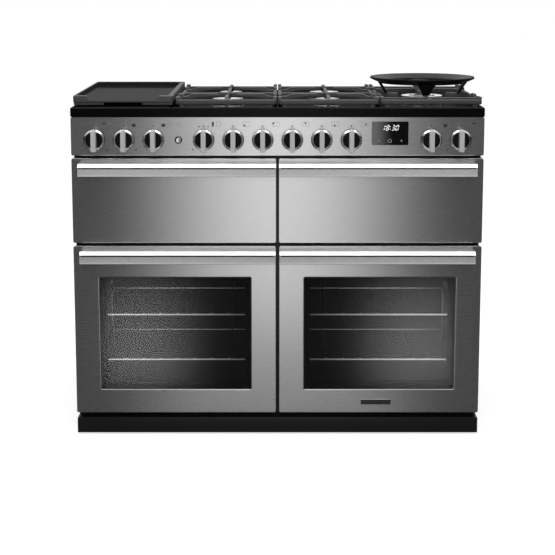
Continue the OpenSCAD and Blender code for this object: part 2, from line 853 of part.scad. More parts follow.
// Hinge brackets and pins: two for each oven door, two for the grill door
module hinge_brackets() {
    hx = half_w - hinge_in;
    hy = front_y + hinge_back;
    top_z = low_top - notch_h + 1.5;
    color("#606060") {
        for (s = [-1, 1]) on_side(s) {
            for (z = [low_z - 2 - bracket_t, top_z]) {
                block([hx - bracket_w / 2, hy, z], [hx + bracket_w / 2, frame_y, z + bracket_t]);
                rod_z(z, z + bracket_t, hx, hy, bracket_w / 2);
            }
            rod_z(low_z - 3, low_z + 12, hx, hy, pin_r);
            rod_z(top_z - 14, top_z + 1, hx, hy, pin_r);
        }
        for (m = [0, 1]) {
            x = m == 0 ? -half_w + 6 : -up_mid_x - 6 - bracket_t;
            block([x, front_y + drop_in, up_z + drop_in - 9], [x + bracket_t, frame_y, up_z + drop_in + 9]);
            rod_x(x, x + bracket_t, front_y + drop_in, up_z + drop_in, 9);
            rod_x(m == 0 ? x + 1 : x - 14, m == 0 ? x + 14 + bracket_t : x + 1, front_y + drop_in,
                up_z + drop_in, pin_r);
        }
    }
}

// Gas inlet, and the terminal box with its cable entry
module rear_fittings() {
    x0 = terminal_in - side_x;
    x1 = x0 + terminal_w;
    y1 = back_y - 3;
    z0 = hob_z - terminal_drop;
    wall = terminal_wall;
    color("#a08a50") difference() {
        rod_y(rear_y, back_y, pipe_x, rail_z, inlet_r + 5);
        rod_y(back_y - inlet_l, back_y + through, pipe_x, rail_z, inlet_r);
        rod_y(rear_y - through, back_y, pipe_x, rail_z, rail_r - 2);
    }
    color("#303030") difference() {
        block([x0, rear_y, z0], [x1, y1, z0 + terminal_h]);
        block([x0 + wall, rear_y + wall, z0 + cable_l], [x1 - wall, y1 - wall, z0 + terminal_h - wall]);
        rod_z(z0 - through, z0 + cable_l + 1, (x0 + x1) / 2, (rear_y + y1) / 2, cable_r);
    }
}

// Folded front shell of a door: skin and returns, open at the back
module front_shell(x0, x1, z0, z1) {
    difference() {
        plate_y(x0, x1, z0, z1, front_y, door_back_y, corner_r);
        plate_y(x0 + sheet, x1 - sheet, z0 + sheet, z1 - sheet, front_y + sheet, door_back_y + through,
            inner_corner_r);
    }
}

// The window's cut, larger or smaller by a margin
module window_cut(margin, y0, y1) {
    plate_y(oven_x - window_w / 2 + margin, oven_x + window_w / 2 - margin, low_z + window_lift + margin,
        low_z + window_lift + window_h - margin, y0, y1, window_r);
}

// The space that the hinge brackets sweep in an oven door, with the pin holes
module hinge_space() {
    hx = half_w - hinge_in;
    hy = front_y + hinge_back;
    block([half_w - notch_w, front_y + sheet, low_top - notch_h - through],
        [half_w + through, door_back_y + through, low_top + through]);
    rod_z(low_z - through, low_z + 14, hx, hy, pin_r + running);
    rod_z(low_top - 26, low_top, hx, hy, pin_r + running);
}

// Front of an oven door, with the hinge blocks inside it
module door_panel() {
    difference() {
        union() {
            front_shell(low_mid_x, half_w, low_z, low_top);
            for (z = [low_z + 1, low_top - 24])
                block([half_w - notch_w, front_y + 1, z], [half_w - 1, door_back_y - 8, z + 16]);
        }
        window_cut(0, front_y - through, front_y + door_t);
        hinge_space();
    }
}

// Outer and inner panes of an oven door
module door_glass() {
    x0 = oven_x - window_w / 2;
    x1 = oven_x + window_w / 2;
    z0 = low_z + window_lift;
    z1 = z0 + window_h;
    plate_y(x0 - pane_over, x1 + pane_over, z0 - pane_over, z1 + pane_over,
        front_y + sheet, front_y + sheet + pane_t, window_r);
    plate_y(x0 + pane_under, x1 - pane_under, z0 + pane_under, z1 - pane_under,
        door_back_y - liner_t - pane_t, door_back_y - liner_t, window_r);
}

// Inner panel of an oven door, the box that holds the panes, and the seal round the cavity
module door_liner() {
    x0 = oven_x - window_w / 2;
    x1 = oven_x + window_w / 2;
    z0 = low_z + window_lift;
    z1 = z0 + window_h;
    difference() {
        union() {
            plate_y(low_mid_x + sheet, half_w - sheet, low_z + sheet, low_top - sheet,
                door_back_y - liner_t, door_back_y, inner_corner_r + loose);
            difference() {
                plate_y(x0 - box_wall, x1 + box_wall, z0 - box_wall, z1 + box_wall,
                    front_y + sheet + pane_t, door_back_y - liner_t, window_r);
                plate_y(x0 + box_wall, x1 - box_wall, z0 + box_wall, z1 - box_wall,
                    front_y, door_back_y, window_r);
            }
        }
        window_cut(inner_margin, door_back_y - liner_t - through, door_back_y + through);
        block([half_w - notch_w, door_back_y - 10, low_top - notch_h - through],
            [half_w, door_back_y + through, low_top]);
    }
    difference() {
        plate_y(oven_x - cavity_w / 2 - seal_out, oven_x + cavity_w / 2 + seal_out,
            oven_z - seal_out, oven_z + oven_h + seal_out, door_back_y, frame_y - loose, seal_r);
        plate_y(oven_x - cavity_w / 2 - seal_in, oven_x + cavity_w / 2 + seal_in,
            oven_z - seal_in, oven_z + oven_h + seal_in, door_back_y - through, frame_y,
            seal_r - seal_out + seal_in);
    }
}

// Handle: a folded bar with end caps, screwed to its door
module handle(x0, x1, top) {
    y0 = front_y - handle_out;
    r = 4;
    profile = concat(
        [[front_y, top], [front_y, top - handle_t], [y0 + handle_t, top - handle_t],
            [y0 + handle_t, top - handle_h], [y0, top - handle_h]],
        [for (a = [0:15:90]) [y0 + r - r * cos(a), top - r + r * sin(a)]]
    );
    translate([x0, 0, 0]) rotate([90, 0, 90]) linear_extrude(x1 - x0) polygon(profile);
    for (x = [x0, x1 - handle_end_t])
        block([x, y0 + handle_t - 1, top - handle_h + 2], [x + handle_end_t, front_y, top - 1]);
}

module low_handle() {
    handle(low_mid_x + 1, half_w - handle_end, handle_low_top);
}

module up_handle() {
    handle(up_mid_x + 1, half_w - handle_end, handle_up_top);
}

module left_door_panel() { color("silver") on_side(-1) door_panel(); }
module left_door_glass() { color("#101012", 0.6) on_side(-1) door_glass(); }
module left_door_liner() { color("#303030") on_side(-1) door_liner(); }
module left_door_handle() { color("white") on_side(-1) low_handle(); }

// The right door also carries the bare badge plate
module right_door_panel() {
    x = oven_x - badge_in;
    z = low_z + badge_lift;
    color("silver") door_panel();
    color("#303030") block([x - badge_w / 2, front_y - 1, z], [x + badge_w / 2, front_y, z + badge_h]);
}

module right_door_glass() { color("#101012", 0.6) door_glass(); }
module right_door_liner() { color("#303030") door_liner(); }
module right_door_handle() { color("white") low_handle(); }

// Grill door: front shell, inner plate and the blocks that turn on the pins
module grill_door_panel() {
    x0 = up_mid_x;
    x1 = half_w;
    px = [x1 - hinge_slot - hinge_block_w, x0 + hinge_slot];
    pz = up_z + drop_in;
    color("silver") on_side(-1) difference() {
        union() {
            front_shell(x0, x1, up_z, up_top);
            block([x0 + sheet, door_back_y - liner_t, up_z + sheet], [x1 - sheet, door_back_y, up_top - sheet]);
            for (x = px)
                block([x, front_y + 1, up_z + 1],
                    [x + hinge_block_w, door_back_y - 1, up_z + hinge_block_h]);
        }
        block([x1 - hinge_slot, front_y + sheet, up_z - through],
            [x1 + through, door_back_y + through, pz + 12]);
        block([x0 - through, front_y + sheet, up_z - through],
            [x0 + hinge_slot, door_back_y + through, pz + 12]);
        rod_x(px[0] - 3, x1, front_y + drop_in, pz, pin_r + running);
        rod_x(x0, px[1] + 9, front_y + drop_in, pz, pin_r + running);
    }
}

module grill_door_handle() { color("white") on_side(-1) up_handle(); }

// Drawer front: front shell with a back plate
module drawer_front() {
    color("silver") {
        front_shell(up_mid_x, half_w, up_z, up_top);
        block([up_mid_x + sheet, door_back_y - liner_t, up_z + sheet],
            [half_w - sheet, door_back_y, up_top - sheet]);
    }
}

module drawer_handle() { color("white") up_handle(); }

// Drawer box of single sheets, with the moving halves of the runners
module drawer_box() {
    x0 = oven_x - cavity_w / 2 + runner_t + 5;
    x1 = oven_x + cavity_w / 2 - runner_t - 5;
    z0 = upper_z + drawer_lift;
    z1 = upper_z + upper_h - 30;
    y1 = upper_back_y - 20;
    t = drawer_wall;
    inset = t + seam;
    color("gainsboro") {
        block([x0, door_back_y, z0], [x1, y1, z0 + t]);
        for (y = [door_back_y, y1 - t]) block([x0 + inset, y, z0 + inset], [x1 - inset, y + t, z1]);
        for (x = [x0, x1 - t]) block([x, door_back_y, z0 + inset], [x + t, y1, z1]);
        for (m = [0, 1], s = [-1, 1])
            translate([m == 0 ? x0 - runner_t - 4 : x1, 0, upper_z + runner_z + s * (runner_h / 2 + 2 + loose)])
                block([0, shell_y + 8, -2], [runner_t + 4, y1 - 10, 2]);
    }
}

// One wire shelf: a frame with rods from front to back on top of it
module shelf(z) {
    y0 = shell_y + shelf_back;
    y1 = y0 + shelf_d;
    span = cavity_w / 2 - 2 * rack_wire_r - loose - shelf_rail_r;
    cross_r = shelf_rail_r - 0.5;
    for (x = [-1, 1]) rod_y(y0 - shelf_rail_r, y1 + shelf_rail_r, oven_x + x * span, z, shelf_rail_r);
    for (y = [y0, y1]) rod_x(oven_x - span, oven_x + span, y, z, cross_r);
    for (i = [0:wire_count - 1])
        rod_y(y0 - wire_end, y1 + wire_end, oven_x + (i - (wire_count - 1) / 2) * wire_pitch, z + wire_rise, wire_r);
}

module shelves() {
    for (z = [shelf_z_low, shelf_z_high]) shelf(oven_z + z);
}

module left_shelves() { color("silver") on_side(-1) shelves(); }
module right_shelves() { color("silver") shelves(); }

// Grill pan on the ledges of its compartment
module grill_pan() {
    x0 = pan_side - oven_x - cavity_w / 2;
    x1 = cavity_w / 2 - oven_x - pan_side;
    y0 = shell_y + pan_front;
    y1 = y0 + pan_d;
    z0 = upper_z + ledge_z + loose;
    t = pan_rim_t;
    color("#505050") {
        difference() {
            block([x0 + pan_edge, y0, z0 - pan_deep], [x1 - pan_edge, y1, z0 + t]);
            block([x0 + pan_edge + t, y0 + t, z0 - pan_deep + t],
                [x1 - pan_edge - t, y1 - t, z0 + t + through]);
        }
        difference() {
            block([x0, y0, z0], [x1, y1, z0 + t]);
            block([x0 + pan_edge, y0 + t, z0 - through], [x1 - pan_edge, y1 - t, z0 + t + through]);
        }
    }
}

// Griddle: a cast plate with a rim that is low in the middle of the front
module griddle() {
    x0 = support_xs[0] - support_w / 2;
    x1 = support_xs[0] + support_w / 2 - griddle_side;
    y0 = support_y;
    y1 = support_back_y;
    top = edge_z + griddle_h;
    low = edge_z + 3;
    wall = griddle_wall;
    color("#2e2e2e") difference() {
        union() {
            plate_z(x0, x1, y0, y1, low + 6, top, 9);
            for (x = [x0 + 2, x1 - 82], y = [y0 + 2, y1 - 42]) block([x, y, low], [x + 80, y + 40, low + 7]);
            for (s = [-1, 1], t = [-1, 1])
                rod_z(well_z - rebate + glass_t + loose, low + 7, support_xs[0] + s * 95, wok_y + t * 195,
                    griddle_pad);
        }
        plate_z(x0 + wall, x1 - 2 * wall, y0 + wall + 8, y1 - wall, low + 12, top + through, 8);
        block([x0 + griddle_ear, y0 - through, top - griddle_dip],
            [x1 - griddle_ear, y0 + wall + 20, top + through]);
    }
}

// One pan support: a frame with fingers round two burners, pan rests and feet
module pan_support(i) {
    cx = support_xs[i];
    x0 = cx - support_w / 2;
    x1 = cx + support_w / 2;
    y0 = support_y;
    y1 = support_back_y;
    top = edge_z + bar_top;
    low = top - bar_h;
    mid_y = (y0 + y1) / 2;
    color("#2a2a2a") {
        difference() {
            plate_z(x0, x1, y0, y1, low, top, 9);
            plate_z(x0 + bar_w, x1 - bar_w, y0 + bar_w, y1 - bar_w, low - through, top + through, 4);
        }
        for (x = [x0 + foot_in, x1 - foot_in - foot_w], y = [y0 + 2, y1 - 2 - foot_l])
            block([x, y, well_z + loose], [x + foot_w, y + foot_l, low + 1]);
        if (i < 3) {
            block([x0 + 1, mid_y - bar_w / 2, low], [x1 - 1, mid_y + bar_w / 2, top]);
            block([cx - bar_w / 2, mid_y - 60, low], [cx + bar_w / 2, mid_y + 60, top]);
            for (b = [burner_front_y, burner_rear_y]) translate([cx, b, 0]) for (a = [0:90:270])
                rotate([0, 0, a]) {
                    reach = a % 180 == 0 ? support_w / 2 - 1 : burner_front - 1;
                    block([burner_r_large + 6, -bar_w / 2, low], [reach, bar_w / 2, top]);
                    block([finger_in, -bar_w / 2, top - 4], [finger_out, bar_w / 2, top + rest_h]);
                }
        } else {
            for (a = [0:90:270]) translate([cx, wok_y, 0]) rotate([0, 0, a]) {
                reach = a % 180 == 0 ? support_w / 2 - 1 : support_d / 2 - 1;
                block([burner_r_wok + 6, -bar_w / 2, low], [reach, bar_w / 2, top]);
            }
            for (s = [-1, 1]) translate([0, wok_y + s * cross_out, 0])
                block([x0 + 1, -bar_w / 2, low], [x1 - 1, bar_w / 2, top]);
        }
        rest_ys = [y0 + 6, burner_front_y - rest_l / 2, burner_rear_y - rest_l / 2, y1 - 6 - rest_l];
        for (x = [x0, x1 - bar_w], y = rest_ys)
            block([x, y, top - 1], [x + bar_w, y + rest_l, top + rest_h]);
    }
}

module left_pan_support() { pan_support(1); }
module centre_pan_support() { pan_support(2); }
module right_pan_support() { pan_support(3); }

// Wok cradle: a conical ring on four legs that stand on the right pan support
module wok_cradle() {
    cx = support_xs[3];
    rim = edge_z + cradle_h;
    foot = edge_z + bar_top + loose;
    color("#2a2a2a") translate([cx, wok_y, 0]) {
        rotate_extrude($fn = 72) polygon([
            [cradle_r, rim], [cradle_r - cradle_edge, rim], [cradle_inner, rim - cradle_slope + 1],
            [cradle_inner, rim - cradle_slope - cradle_wall], [cradle_r, rim - cradle_wall]
        ]);
        for (a = [0:90:270]) rotate([0, 0, a]) hull() {
            translate([cradle_inner + 1, -leg_top_w / 2, rim - cradle_slope - 2]) cube([leg_t, leg_top_w, 2]);
            translate([leg_foot_r, -leg_foot_w / 2, foot]) cube([leg_t, leg_foot_w, 3]);
        }
    }
}

base_frame();
side_panels();
rear_panel();
plinth();
front_frame();
levelling_feet();
rear_rollers();
left_oven_liner();
right_oven_liner();
grill_chamber();
drawer_chamber();
shelf_racks();
fan_covers();
fan_motors();
heating_elements();
hob_top();
burner_bases();
burner_caps();
hotplate();
control_panel();
display_glass();
gas_taps();
control_switches();
hinge_brackets();
rear_fittings();
left_door_panel();
left_door_glass();
left_door_liner();
left_door_handle();
right_door_panel();
right_door_glass();
right_door_liner();
right_door_handle();
grill_door_panel();
grill_door_handle();
drawer_front();
drawer_handle();
drawer_box();
left_fan();
right_fan();
left_shelves();
right_shelves();
grill_pan();
griddle();
left_pan_support();
centre_pan_support();
right_pan_support();
wok_cradle();
grill_knob();
left_function_knob();
left_oven_knob();
hotplate_knob();
gas_knob_1();
gas_knob_2();
gas_knob_3();
gas_knob_4();
gas_knob_5();
right_oven_knob();
right_function_knob();
ignition_button();
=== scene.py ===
"""Looks of the range cooker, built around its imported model.

Lengths are in millimetres and scaled by MM, apart from the studio's, which are in metres.
"""
import math

import bmesh
import bpy
from mathutils import Matrix, Vector

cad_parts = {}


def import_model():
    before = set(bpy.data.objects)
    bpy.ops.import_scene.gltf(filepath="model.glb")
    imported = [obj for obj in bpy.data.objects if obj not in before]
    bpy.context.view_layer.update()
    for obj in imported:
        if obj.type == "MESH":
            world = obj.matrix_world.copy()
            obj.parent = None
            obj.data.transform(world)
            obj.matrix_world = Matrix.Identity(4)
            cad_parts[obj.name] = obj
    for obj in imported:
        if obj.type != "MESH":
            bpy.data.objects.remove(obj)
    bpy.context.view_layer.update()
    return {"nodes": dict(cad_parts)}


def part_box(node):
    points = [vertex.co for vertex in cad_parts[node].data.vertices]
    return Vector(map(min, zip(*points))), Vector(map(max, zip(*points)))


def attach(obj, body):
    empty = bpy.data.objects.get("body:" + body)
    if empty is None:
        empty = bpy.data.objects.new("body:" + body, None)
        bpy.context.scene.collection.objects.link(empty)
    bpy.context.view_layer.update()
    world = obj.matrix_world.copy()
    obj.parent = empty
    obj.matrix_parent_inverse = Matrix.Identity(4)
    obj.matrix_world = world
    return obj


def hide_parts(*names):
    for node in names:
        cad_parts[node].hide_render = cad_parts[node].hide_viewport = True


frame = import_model()
nodes = frame["nodes"]
MM = 0.001

# Camera, from the photograph's perspective: millimetres, degrees, and the shift in picture widths
CAMERA_AWAY = 3799
CAMERA_HEIGHT = 1211
CAMERA_TILT = 8.64
FOCAL = 86.84
SENSOR = 36
SHIFT_UP = -0.16


# Planes and sizes that several pieces share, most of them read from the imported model

def node_box(name):
    """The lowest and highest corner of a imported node, in millimetres."""
    low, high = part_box(name)
    return low / MM, high / MM


PANEL_LOW, PANEL_HIGH = node_box("control_panel")
FRONT = PANEL_LOW.y
HALF_W = PANEL_HIGH.x
HOB_LOW, HOB_HIGH = node_box("hob_top")
EDGE_Z = HOB_HIGH.z
WELL_Z = EDGE_Z - 4
KNOB_Z = 807


# Materials

NOISE_ROUGHNESS = 0.55
NOISE_MIDDLE = (0.3, 0.7)


def shader(name, colour, metallic=0.0, roughness=0.5, **sockets):
    """A material with its principled shader's own sockets set."""
    material = bpy.data.materials.new(name)
    material.use_nodes = True
    principled = material.node_tree.nodes["Principled BSDF"]
    principled.inputs["Base Color"].default_value = (*colour, 1)
    principled.inputs["Metallic"].default_value = metallic
    principled.inputs["Roughness"].default_value = roughness
    for socket, value in sockets.items():
        principled.inputs[socket.replace("_", " ")].default_value = value
    return material, principled


def noise(material, scale, detail, stretch=(1, 1, 1)):
    """A noise texture in the object's own coordinates, in metres."""
    tree = material.node_tree
    place = tree.nodes.new("ShaderNodeTexCoord")
    mapping = tree.nodes.new("ShaderNodeMapping")
    mapping.inputs["Scale"].default_value = stretch
    texture = tree.nodes.new("ShaderNodeTexNoise")
    texture.inputs["Scale"].default_value = scale
    texture.inputs["Detail"].default_value = detail
    texture.inputs["Roughness"].default_value = NOISE_ROUGHNESS
    tree.links.new(place.outputs["Object"], mapping.inputs["Vector"])
    tree.links.new(mapping.outputs["Vector"], texture.inputs["Vector"])
    return texture.outputs["Fac"]


def map_range(tree, value, ends_in, ends_out, smooth=True):
    """Maps a value from one range to another, smoothly or in a straight line."""
    node = tree.nodes.new("ShaderNodeMapRange")
    if smooth:
        node.interpolation_type = "SMOOTHSTEP"
    for socket, end in zip(("From Min", "From Max", "To Min", "To Max"), (*ends_in, *ends_out)):
        node.inputs[socket].default_value = end
    tree.links.new(value, node.inputs["Value"])
    return node.outputs["Result"]


def spread(material, value, low, high):
    """Maps a noise value to a range."""
    return map_range(material.node_tree, value, NOISE_MIDDLE, (low, high), smooth=False)


# Where the mix node has its colour sockets
MIX_FIRST, MIX_SECOND, MIX_RESULT = 6, 7, 2


def tint(material, value, dark, light):
    """A colour between two, by a noise value."""
    node = material.node_tree.nodes.new("ShaderNodeMix")
    node.data_type = "RGBA"
    node.inputs[MIX_FIRST].default_value = (*dark, 1)
    node.inputs[MIX_SECOND].default_value = (*light, 1)
    material.node_tree.links.new(spread(material, value, 0, 1), node.inputs[0])
    return node.outputs[MIX_RESULT]


def bump(material, principled, value, strength, distance):
    """A bump from a noise value, its distance in millimetres."""
    node = material.node_tree.nodes.new("ShaderNodeBump")
    node.inputs["Strength"].default_value = strength
    node.inputs["Distance"].default_value = distance * MM
    material.node_tree.links.new(value, node.inputs["Height"])
    material.node_tree.links.new(node.outputs["Normal"], principled.inputs["Normal"])


def worn(name, dark, light, roughness, scale, bump_mm, strength=0.5, metallic=0.0, detail=4.0,
         stretch=(1, 1, 1), shares=(1.12, 0.88), **sockets):
    """A surface with a mottled colour and a fine bump, such as cast iron, enamel or moulded plastic."""
    material, principled = shader(name, light, metallic, roughness, **sockets)
    grain = noise(material, scale, detail, stretch)
    links = material.node_tree.links
    links.new(tint(material, grain, dark, light), principled.inputs["Base Color"])
    rough = spread(material, grain, *(roughness * share for share in shares))
    links.new(rough, principled.inputs["Roughness"])
    bump(material, principled, grain, strength, bump_mm)
    return material


def brushed(name, shade, roughness, anisotropic=0.7):
    """Brushed steel whose grain runs along x."""
    dark = (shade * 0.985, shade * 0.985, shade * 0.99)
    light = (shade * 1.015, shade * 1.015, shade * 1.02)
    return worn(name, dark, light, roughness, 2600, 0.01, 0.045, 1.0, detail=2.0, stretch=(0.012, 1, 1),
                shares=(0.92, 1.08), Anisotropic=anisotropic, Anisotropic_Rotation=0.25)


def glass(name, colour, coat):
    """Tinted glass with a faint unevenness; its coat gives the soft reflections."""
    material, principled = shader(name, colour, 0.0, 0.03, Transmission_Weight=1.0, IOR=1.1,
                                  Coat_Weight=coat, Coat_Roughness=0.25)
    bump(material, principled, noise(material, 30, 1.0), 0.02, 0.2)
    return material


def glowing(name, colour, strength):
    """Lit display segments, uneven by a few per cent."""
    material, principled = shader(name, colour, 0.0, 0.4)
    principled.inputs["Emission Strength"].default_value = strength
    uneven = noise(material, 900, 1.0)
    dark = tuple(0.9 * part for part in colour)
    material.node_tree.links.new(tint(material, uneven, dark, colour), principled.inputs["Emission Color"])
    return material


def grey(shade):
    """A neutral colour."""
    return (shade, shade, shade)


STAINLESS = brushed("brushed stainless", 0.56, 0.28)
HANDLE = brushed("bright steel", 0.62, 0.28)
# A lighter copy of the handles' steel for their top bevels: a painted highlight.
HANDLE_TOP = brushed("steel with painted highlight", 0.92, 0.6, anisotropic=0.2)
CHROME = worn("bright chrome", grey(0.72), grey(0.8), 0.16, 300, 0.01, 0.1, 1.0)
GRIP = worn("knob steel", grey(0.56), grey(0.62), 0.42, 500, 0.01, 0.15, 0.2)
KNOB_BLACK = worn("black knob face", grey(0.006), grey(0.010), 0.3, 900, 0.01, 0.2, Specular_IOR_Level=0.2)
ENAMEL = worn("glossy black enamel", grey(0.003), grey(0.006), 0.07, 260, 0.03, 0.06,
              Specular_IOR_Level=0.06)
PAINT = worn("black paint", grey(0.008), grey(0.013), 0.35, 700, 0.03, 0.3)
OVEN = worn("oven enamel", grey(0.004), grey(0.007), 0.30, 500, 0.05, 0.4, Specular_IOR_Level=0.3)
CAST = worn("cast iron", grey(0.06), grey(0.09), 0.45, 900, 0.12, 0.5)
CRADLE = worn("cradle iron", grey(0.006), grey(0.010), 0.34, 900, 0.08, 0.4, Specular_IOR_Level=0.25)
# For the griddle's plate and the inner walls of its rim, darker than the cast iron.
GRIDDLE = worn("griddle darker inside", grey(0.010), grey(0.016), 0.36, 900, 0.08, 0.4, Specular_IOR_Level=0.05)
CAP = worn("burner cap enamel", grey(0.012), grey(0.02), 0.14, 700, 0.02, 0.2, Coat_Weight=1.0)
ALLOY = worn("burner alloy", grey(0.6), grey(0.7), 0.3, 800, 0.04, 0.3, 1.0)
SIDE = worn("grey powder coat", grey(0.10), grey(0.125), 0.4, 1500, 0.06, 0.5)
ZINC = worn("zinc coated steel", grey(0.42), grey(0.56), 0.45, 90, 0.05, 0.3, 1.0)
WIRE = worn("chromed wire", grey(0.62), grey(0.74), 0.2, 500, 0.02, 0.2, 1.0)
# The fans and the heating elements are darker than their bare metal: painted shade behind the fan covers.
FAN = worn("fan steel darkened as painted shade", grey(0.07), grey(0.10), 0.5, 300, 0.03, 0.3, 1.0)
SHEATH = worn("element sheath darkened as painted shade", (0.05, 0.046, 0.043), (0.08, 0.075, 0.07), 0.45, 600, 0.05, 0.5, 1.0)
CERAMIC = worn("ceramic glass", grey(0.006), grey(0.009), 0.07, 900, 0.01, 0.1)
SCREEN = worn("display glass", grey(0.004), grey(0.006), 0.05, 600, 0.01, 0.05)
OUTER_GLASS = glass("outer window glass", grey(0.75), 0.6)
INNER_GLASS = glass("inner window glass", grey(0.6), 0.0)
BRASS = worn("brass", (0.52, 0.38, 0.17), (0.62, 0.47, 0.23), 0.32, 400, 0.03, 0.3, 1.0)
PLASTIC = worn("black moulded plastic", grey(0.02), grey(0.03), 0.45, 1200, 0.04, 0.4)
NYLON = worn("grey nylon", grey(0.05), grey(0.07), 0.5, 900, 0.05, 0.4)
REAR = worn("rear metal", grey(0.38), grey(0.48), 0.42, 120, 0.05, 0.3, 1.0)
LIT = glowing("lit digits", grey(0.92), 1.0)
DIM = glowing("dim signs", grey(0.30), 0.8)
COVER = worn("fan cover enamel", grey(0.006), grey(0.010), 0.3, 500, 0.05, 0.4, Specular_IOR_Level=0.3)
CERAMIC_WHITE = worn("white ceramic", grey(0.62), grey(0.7), 0.3, 900, 0.02, 0.2)
PRINT = worn("dark print", grey(0.03), grey(0.045), 0.5, 900, 0.01, 0.2)
PALE_PRINT = worn("grey print", grey(0.22), grey(0.27), 0.5, 900, 0.01, 0.2)


# Mesh building: a shape collects corners in millimetres, then becomes one piece

def arc(cx, cz, r, start, end, steps):
    """Points on an arc, its angles in degrees."""
    turns = [math.radians(start + (end - start) * i / steps) for i in range(steps + 1)]
    return [(cx + r * math.cos(a), cz + r * math.sin(a)) for a in turns]


def rounded_rect(x0, x1, z0, z1, r, inset=0, steps=5):
    """Points round a rectangle with round corners, its sides moved in, from the lower right corner."""
    r = max(r, 0.01)
    left, right, low, high = x0 + inset + r, x1 - inset - r, z0 + inset + r, z1 - inset - r
    corners = ((right, low, -90), (right, high, 0), (left, high, 90), (left, low, 180))
    return [point for x, z, start in corners for point in arc(x, z, r, start, start + 90, steps)]


def upright(y, points):
    """A ring of (x, z) points at one depth."""
    return [(x, y, z) for x, z in points]


def flat(z, points):
    """A ring of (x, y) points at one height."""
    return [(x, y, z) for x, y in points]


class Shape:
    """Corners and faces of one piece, in millimetres."""

    def __init__(self):
        self.verts = []
        self.faces = []
        self.slots = []
        self.slot = 0

    def face(self, corners):
        """Adds a face between corners that are there already."""
        self.faces.append(tuple(corners))
        self.slots.append(self.slot)

    def add(self, points):
        """Adds corners and gives their numbers."""
        start = len(self.verts)
        self.verts.extend(points)
        return list(range(start, len(self.verts)))

    def loft(self, rings, closed=False):
        """Joins rings with as many points each, capped at both ends unless the last joins the first."""
        ids = [self.add(ring) for ring in rings]
        pairs = list(zip(ids, ids[1:])) + ([(ids[-1], ids[0])] if closed else [])
        for a, b in pairs:
            for i in range(len(a)):
                j = (i + 1) % len(a)
                self.face((a[i], a[j], b[j], b[i]))
        if not closed:
            self.face(reversed(ids[0]))
            self.face(ids[-1])

    def lathe(self, profile, centre, axis="z", steps=24, closed=False):
        """Turns a profile of (radius, height) round an axis through centre."""
        rings = []
        for r, h in profile:
            ring = []
            for i in range(steps):
                a = 2 * math.pi * i / steps
                u, v = r * math.cos(a), r * math.sin(a)
                offset = {"z": (u, v, h), "y": (v, h, u), "x": (h, u, v)}[axis]
                ring.append(tuple(c + o for c, o in zip(centre, offset)))
            rings.append(ring)
        self.loft(rings, closed)

    def box(self, low, high, r):
        """A block with rounded edges."""
        x0, y0, z0 = low
        x1, y1, z1 = high
        r = min(r, 0.45 * min(x1 - x0, y1 - y0, z1 - z0))
        part = 0.3 * r
        steps = ((r, y0), (part, y0 + part), (0, y0 + r), (0, y1 - r), (part, y1 - part), (r, y1))
        self.loft([upright(y, rounded_rect(x0, x1, z0, z1, max(r - inset, 0.05), inset, 2))
                   for inset, y in steps])

    def mesh(self, name, mirror):
        """The shape as a mesh in metres with its faces turned outwards; mirror swaps left and right."""
        mesh = bpy.data.meshes.new(name)
        across = -MM if mirror else MM
        mesh.from_pydata([(x * across, y * MM, z * MM) for x, y, z in self.verts], [], self.faces)
        work = bmesh.new()
        work.from_mesh(mesh)
        bmesh.ops.recalc_face_normals(work, faces=work.faces)
        work.to_mesh(mesh)
        work.free()
        return mesh

    def piece(self, name, body, material, slot, replaces=(), sharp=35, cuts=None, mirror=False,
              round_off=0):
        """One object in metres that rides on a body; round_off is the radius of its sharp edges."""
        mesh = self.mesh(name, mirror)
        for polygon, index in zip(mesh.polygons, self.slots):
            polygon.material_index = index
        for m in material if isinstance(material, list) else [material]:
            mesh.materials.append(m)
        obj = bpy.data.objects.new(name, mesh)
        bpy.context.scene.collection.objects.link(obj)
        if round_off:
            soften(obj, round_off)
        if cuts:
            cut(obj, cuts, mirror)
        finish_mesh(obj, sharp)
        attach(obj, body)
        if replaces:
            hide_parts(*replaces)
        return obj


def cut(obj, cuts, mirror):
    """Takes a shape's volume out of an object."""
    cutter = bpy.data.objects.new("cutter", cuts.mesh("cutter", mirror))
    bpy.context.scene.collection.objects.link(cutter)
    modifier = obj.modifiers.new("cut", "BOOLEAN")
    modifier.object = cutter
    modifier.solver = "EXACT"
    modifier.use_self = True
    apply_modifiers(obj)
    bpy.data.objects.remove(cutter)


def soften(obj, radius):
    """Rounds an object's sharp edges."""
    modifier = obj.modifiers.new("round", "BEVEL")
    modifier.limit_method = "ANGLE"
    modifier.angle_limit = math.radians(40)
    modifier.width = radius * MM
    modifier.segments = 3
    apply_modifiers(obj)


def apply_modifiers(obj):
    """Makes an object's modified mesh its own."""
    graph = bpy.context.evaluated_depsgraph_get()
    graph.update()
    mesh = bpy.data.meshes.new_from_object(obj.evaluated_get(graph))
    obj.modifiers.clear()
    obj.data = mesh


def finish_mesh(obj, sharp):
    """Smooth shading that keeps large faces flat, and map coordinates in metres by each face's side."""
    for polygon in obj.data.polygons:
        polygon.use_smooth = True
    obj.data.set_sharp_from_angle(angle=math.radians(sharp))
    modifier = obj.modifiers.new("normals", "WEIGHTED_NORMAL")
    modifier.keep_sharp = True
    apply_modifiers(obj)
    mesh = obj.data
    layer = mesh.uv_layers.new(name="grain")
    for polygon in mesh.polygons:
        x, y, z = (abs(part) for part in polygon.normal)
        axes = (0, 1) if z > max(x, y) else ((1, 2) if x > max(y, z) else (0, 2))
        for loop in polygon.loop_indices:
            p = mesh.vertices[mesh.loops[loop].vertex_index].co
            layer.data[loop].uv = [p[axis] for axis in axes]


# Fronts of the doors, the drawer and the control panel

SHEET = 1.2
DEPTH = 36
CORNER = 5
LOW_Z0, LOW_Z1 = 60, 522
UP_Z0, UP_Z1 = 530, 758
HINGE_X, HINGE_Y = 532, FRONT + 16
PIN_R = 4.1

# Low x, high x, low z and high z, then the window's corner radius
WINDOW_HOLE = (72, 478, 126, 436, 3)
BADGE = (225, 309, 82, 98)


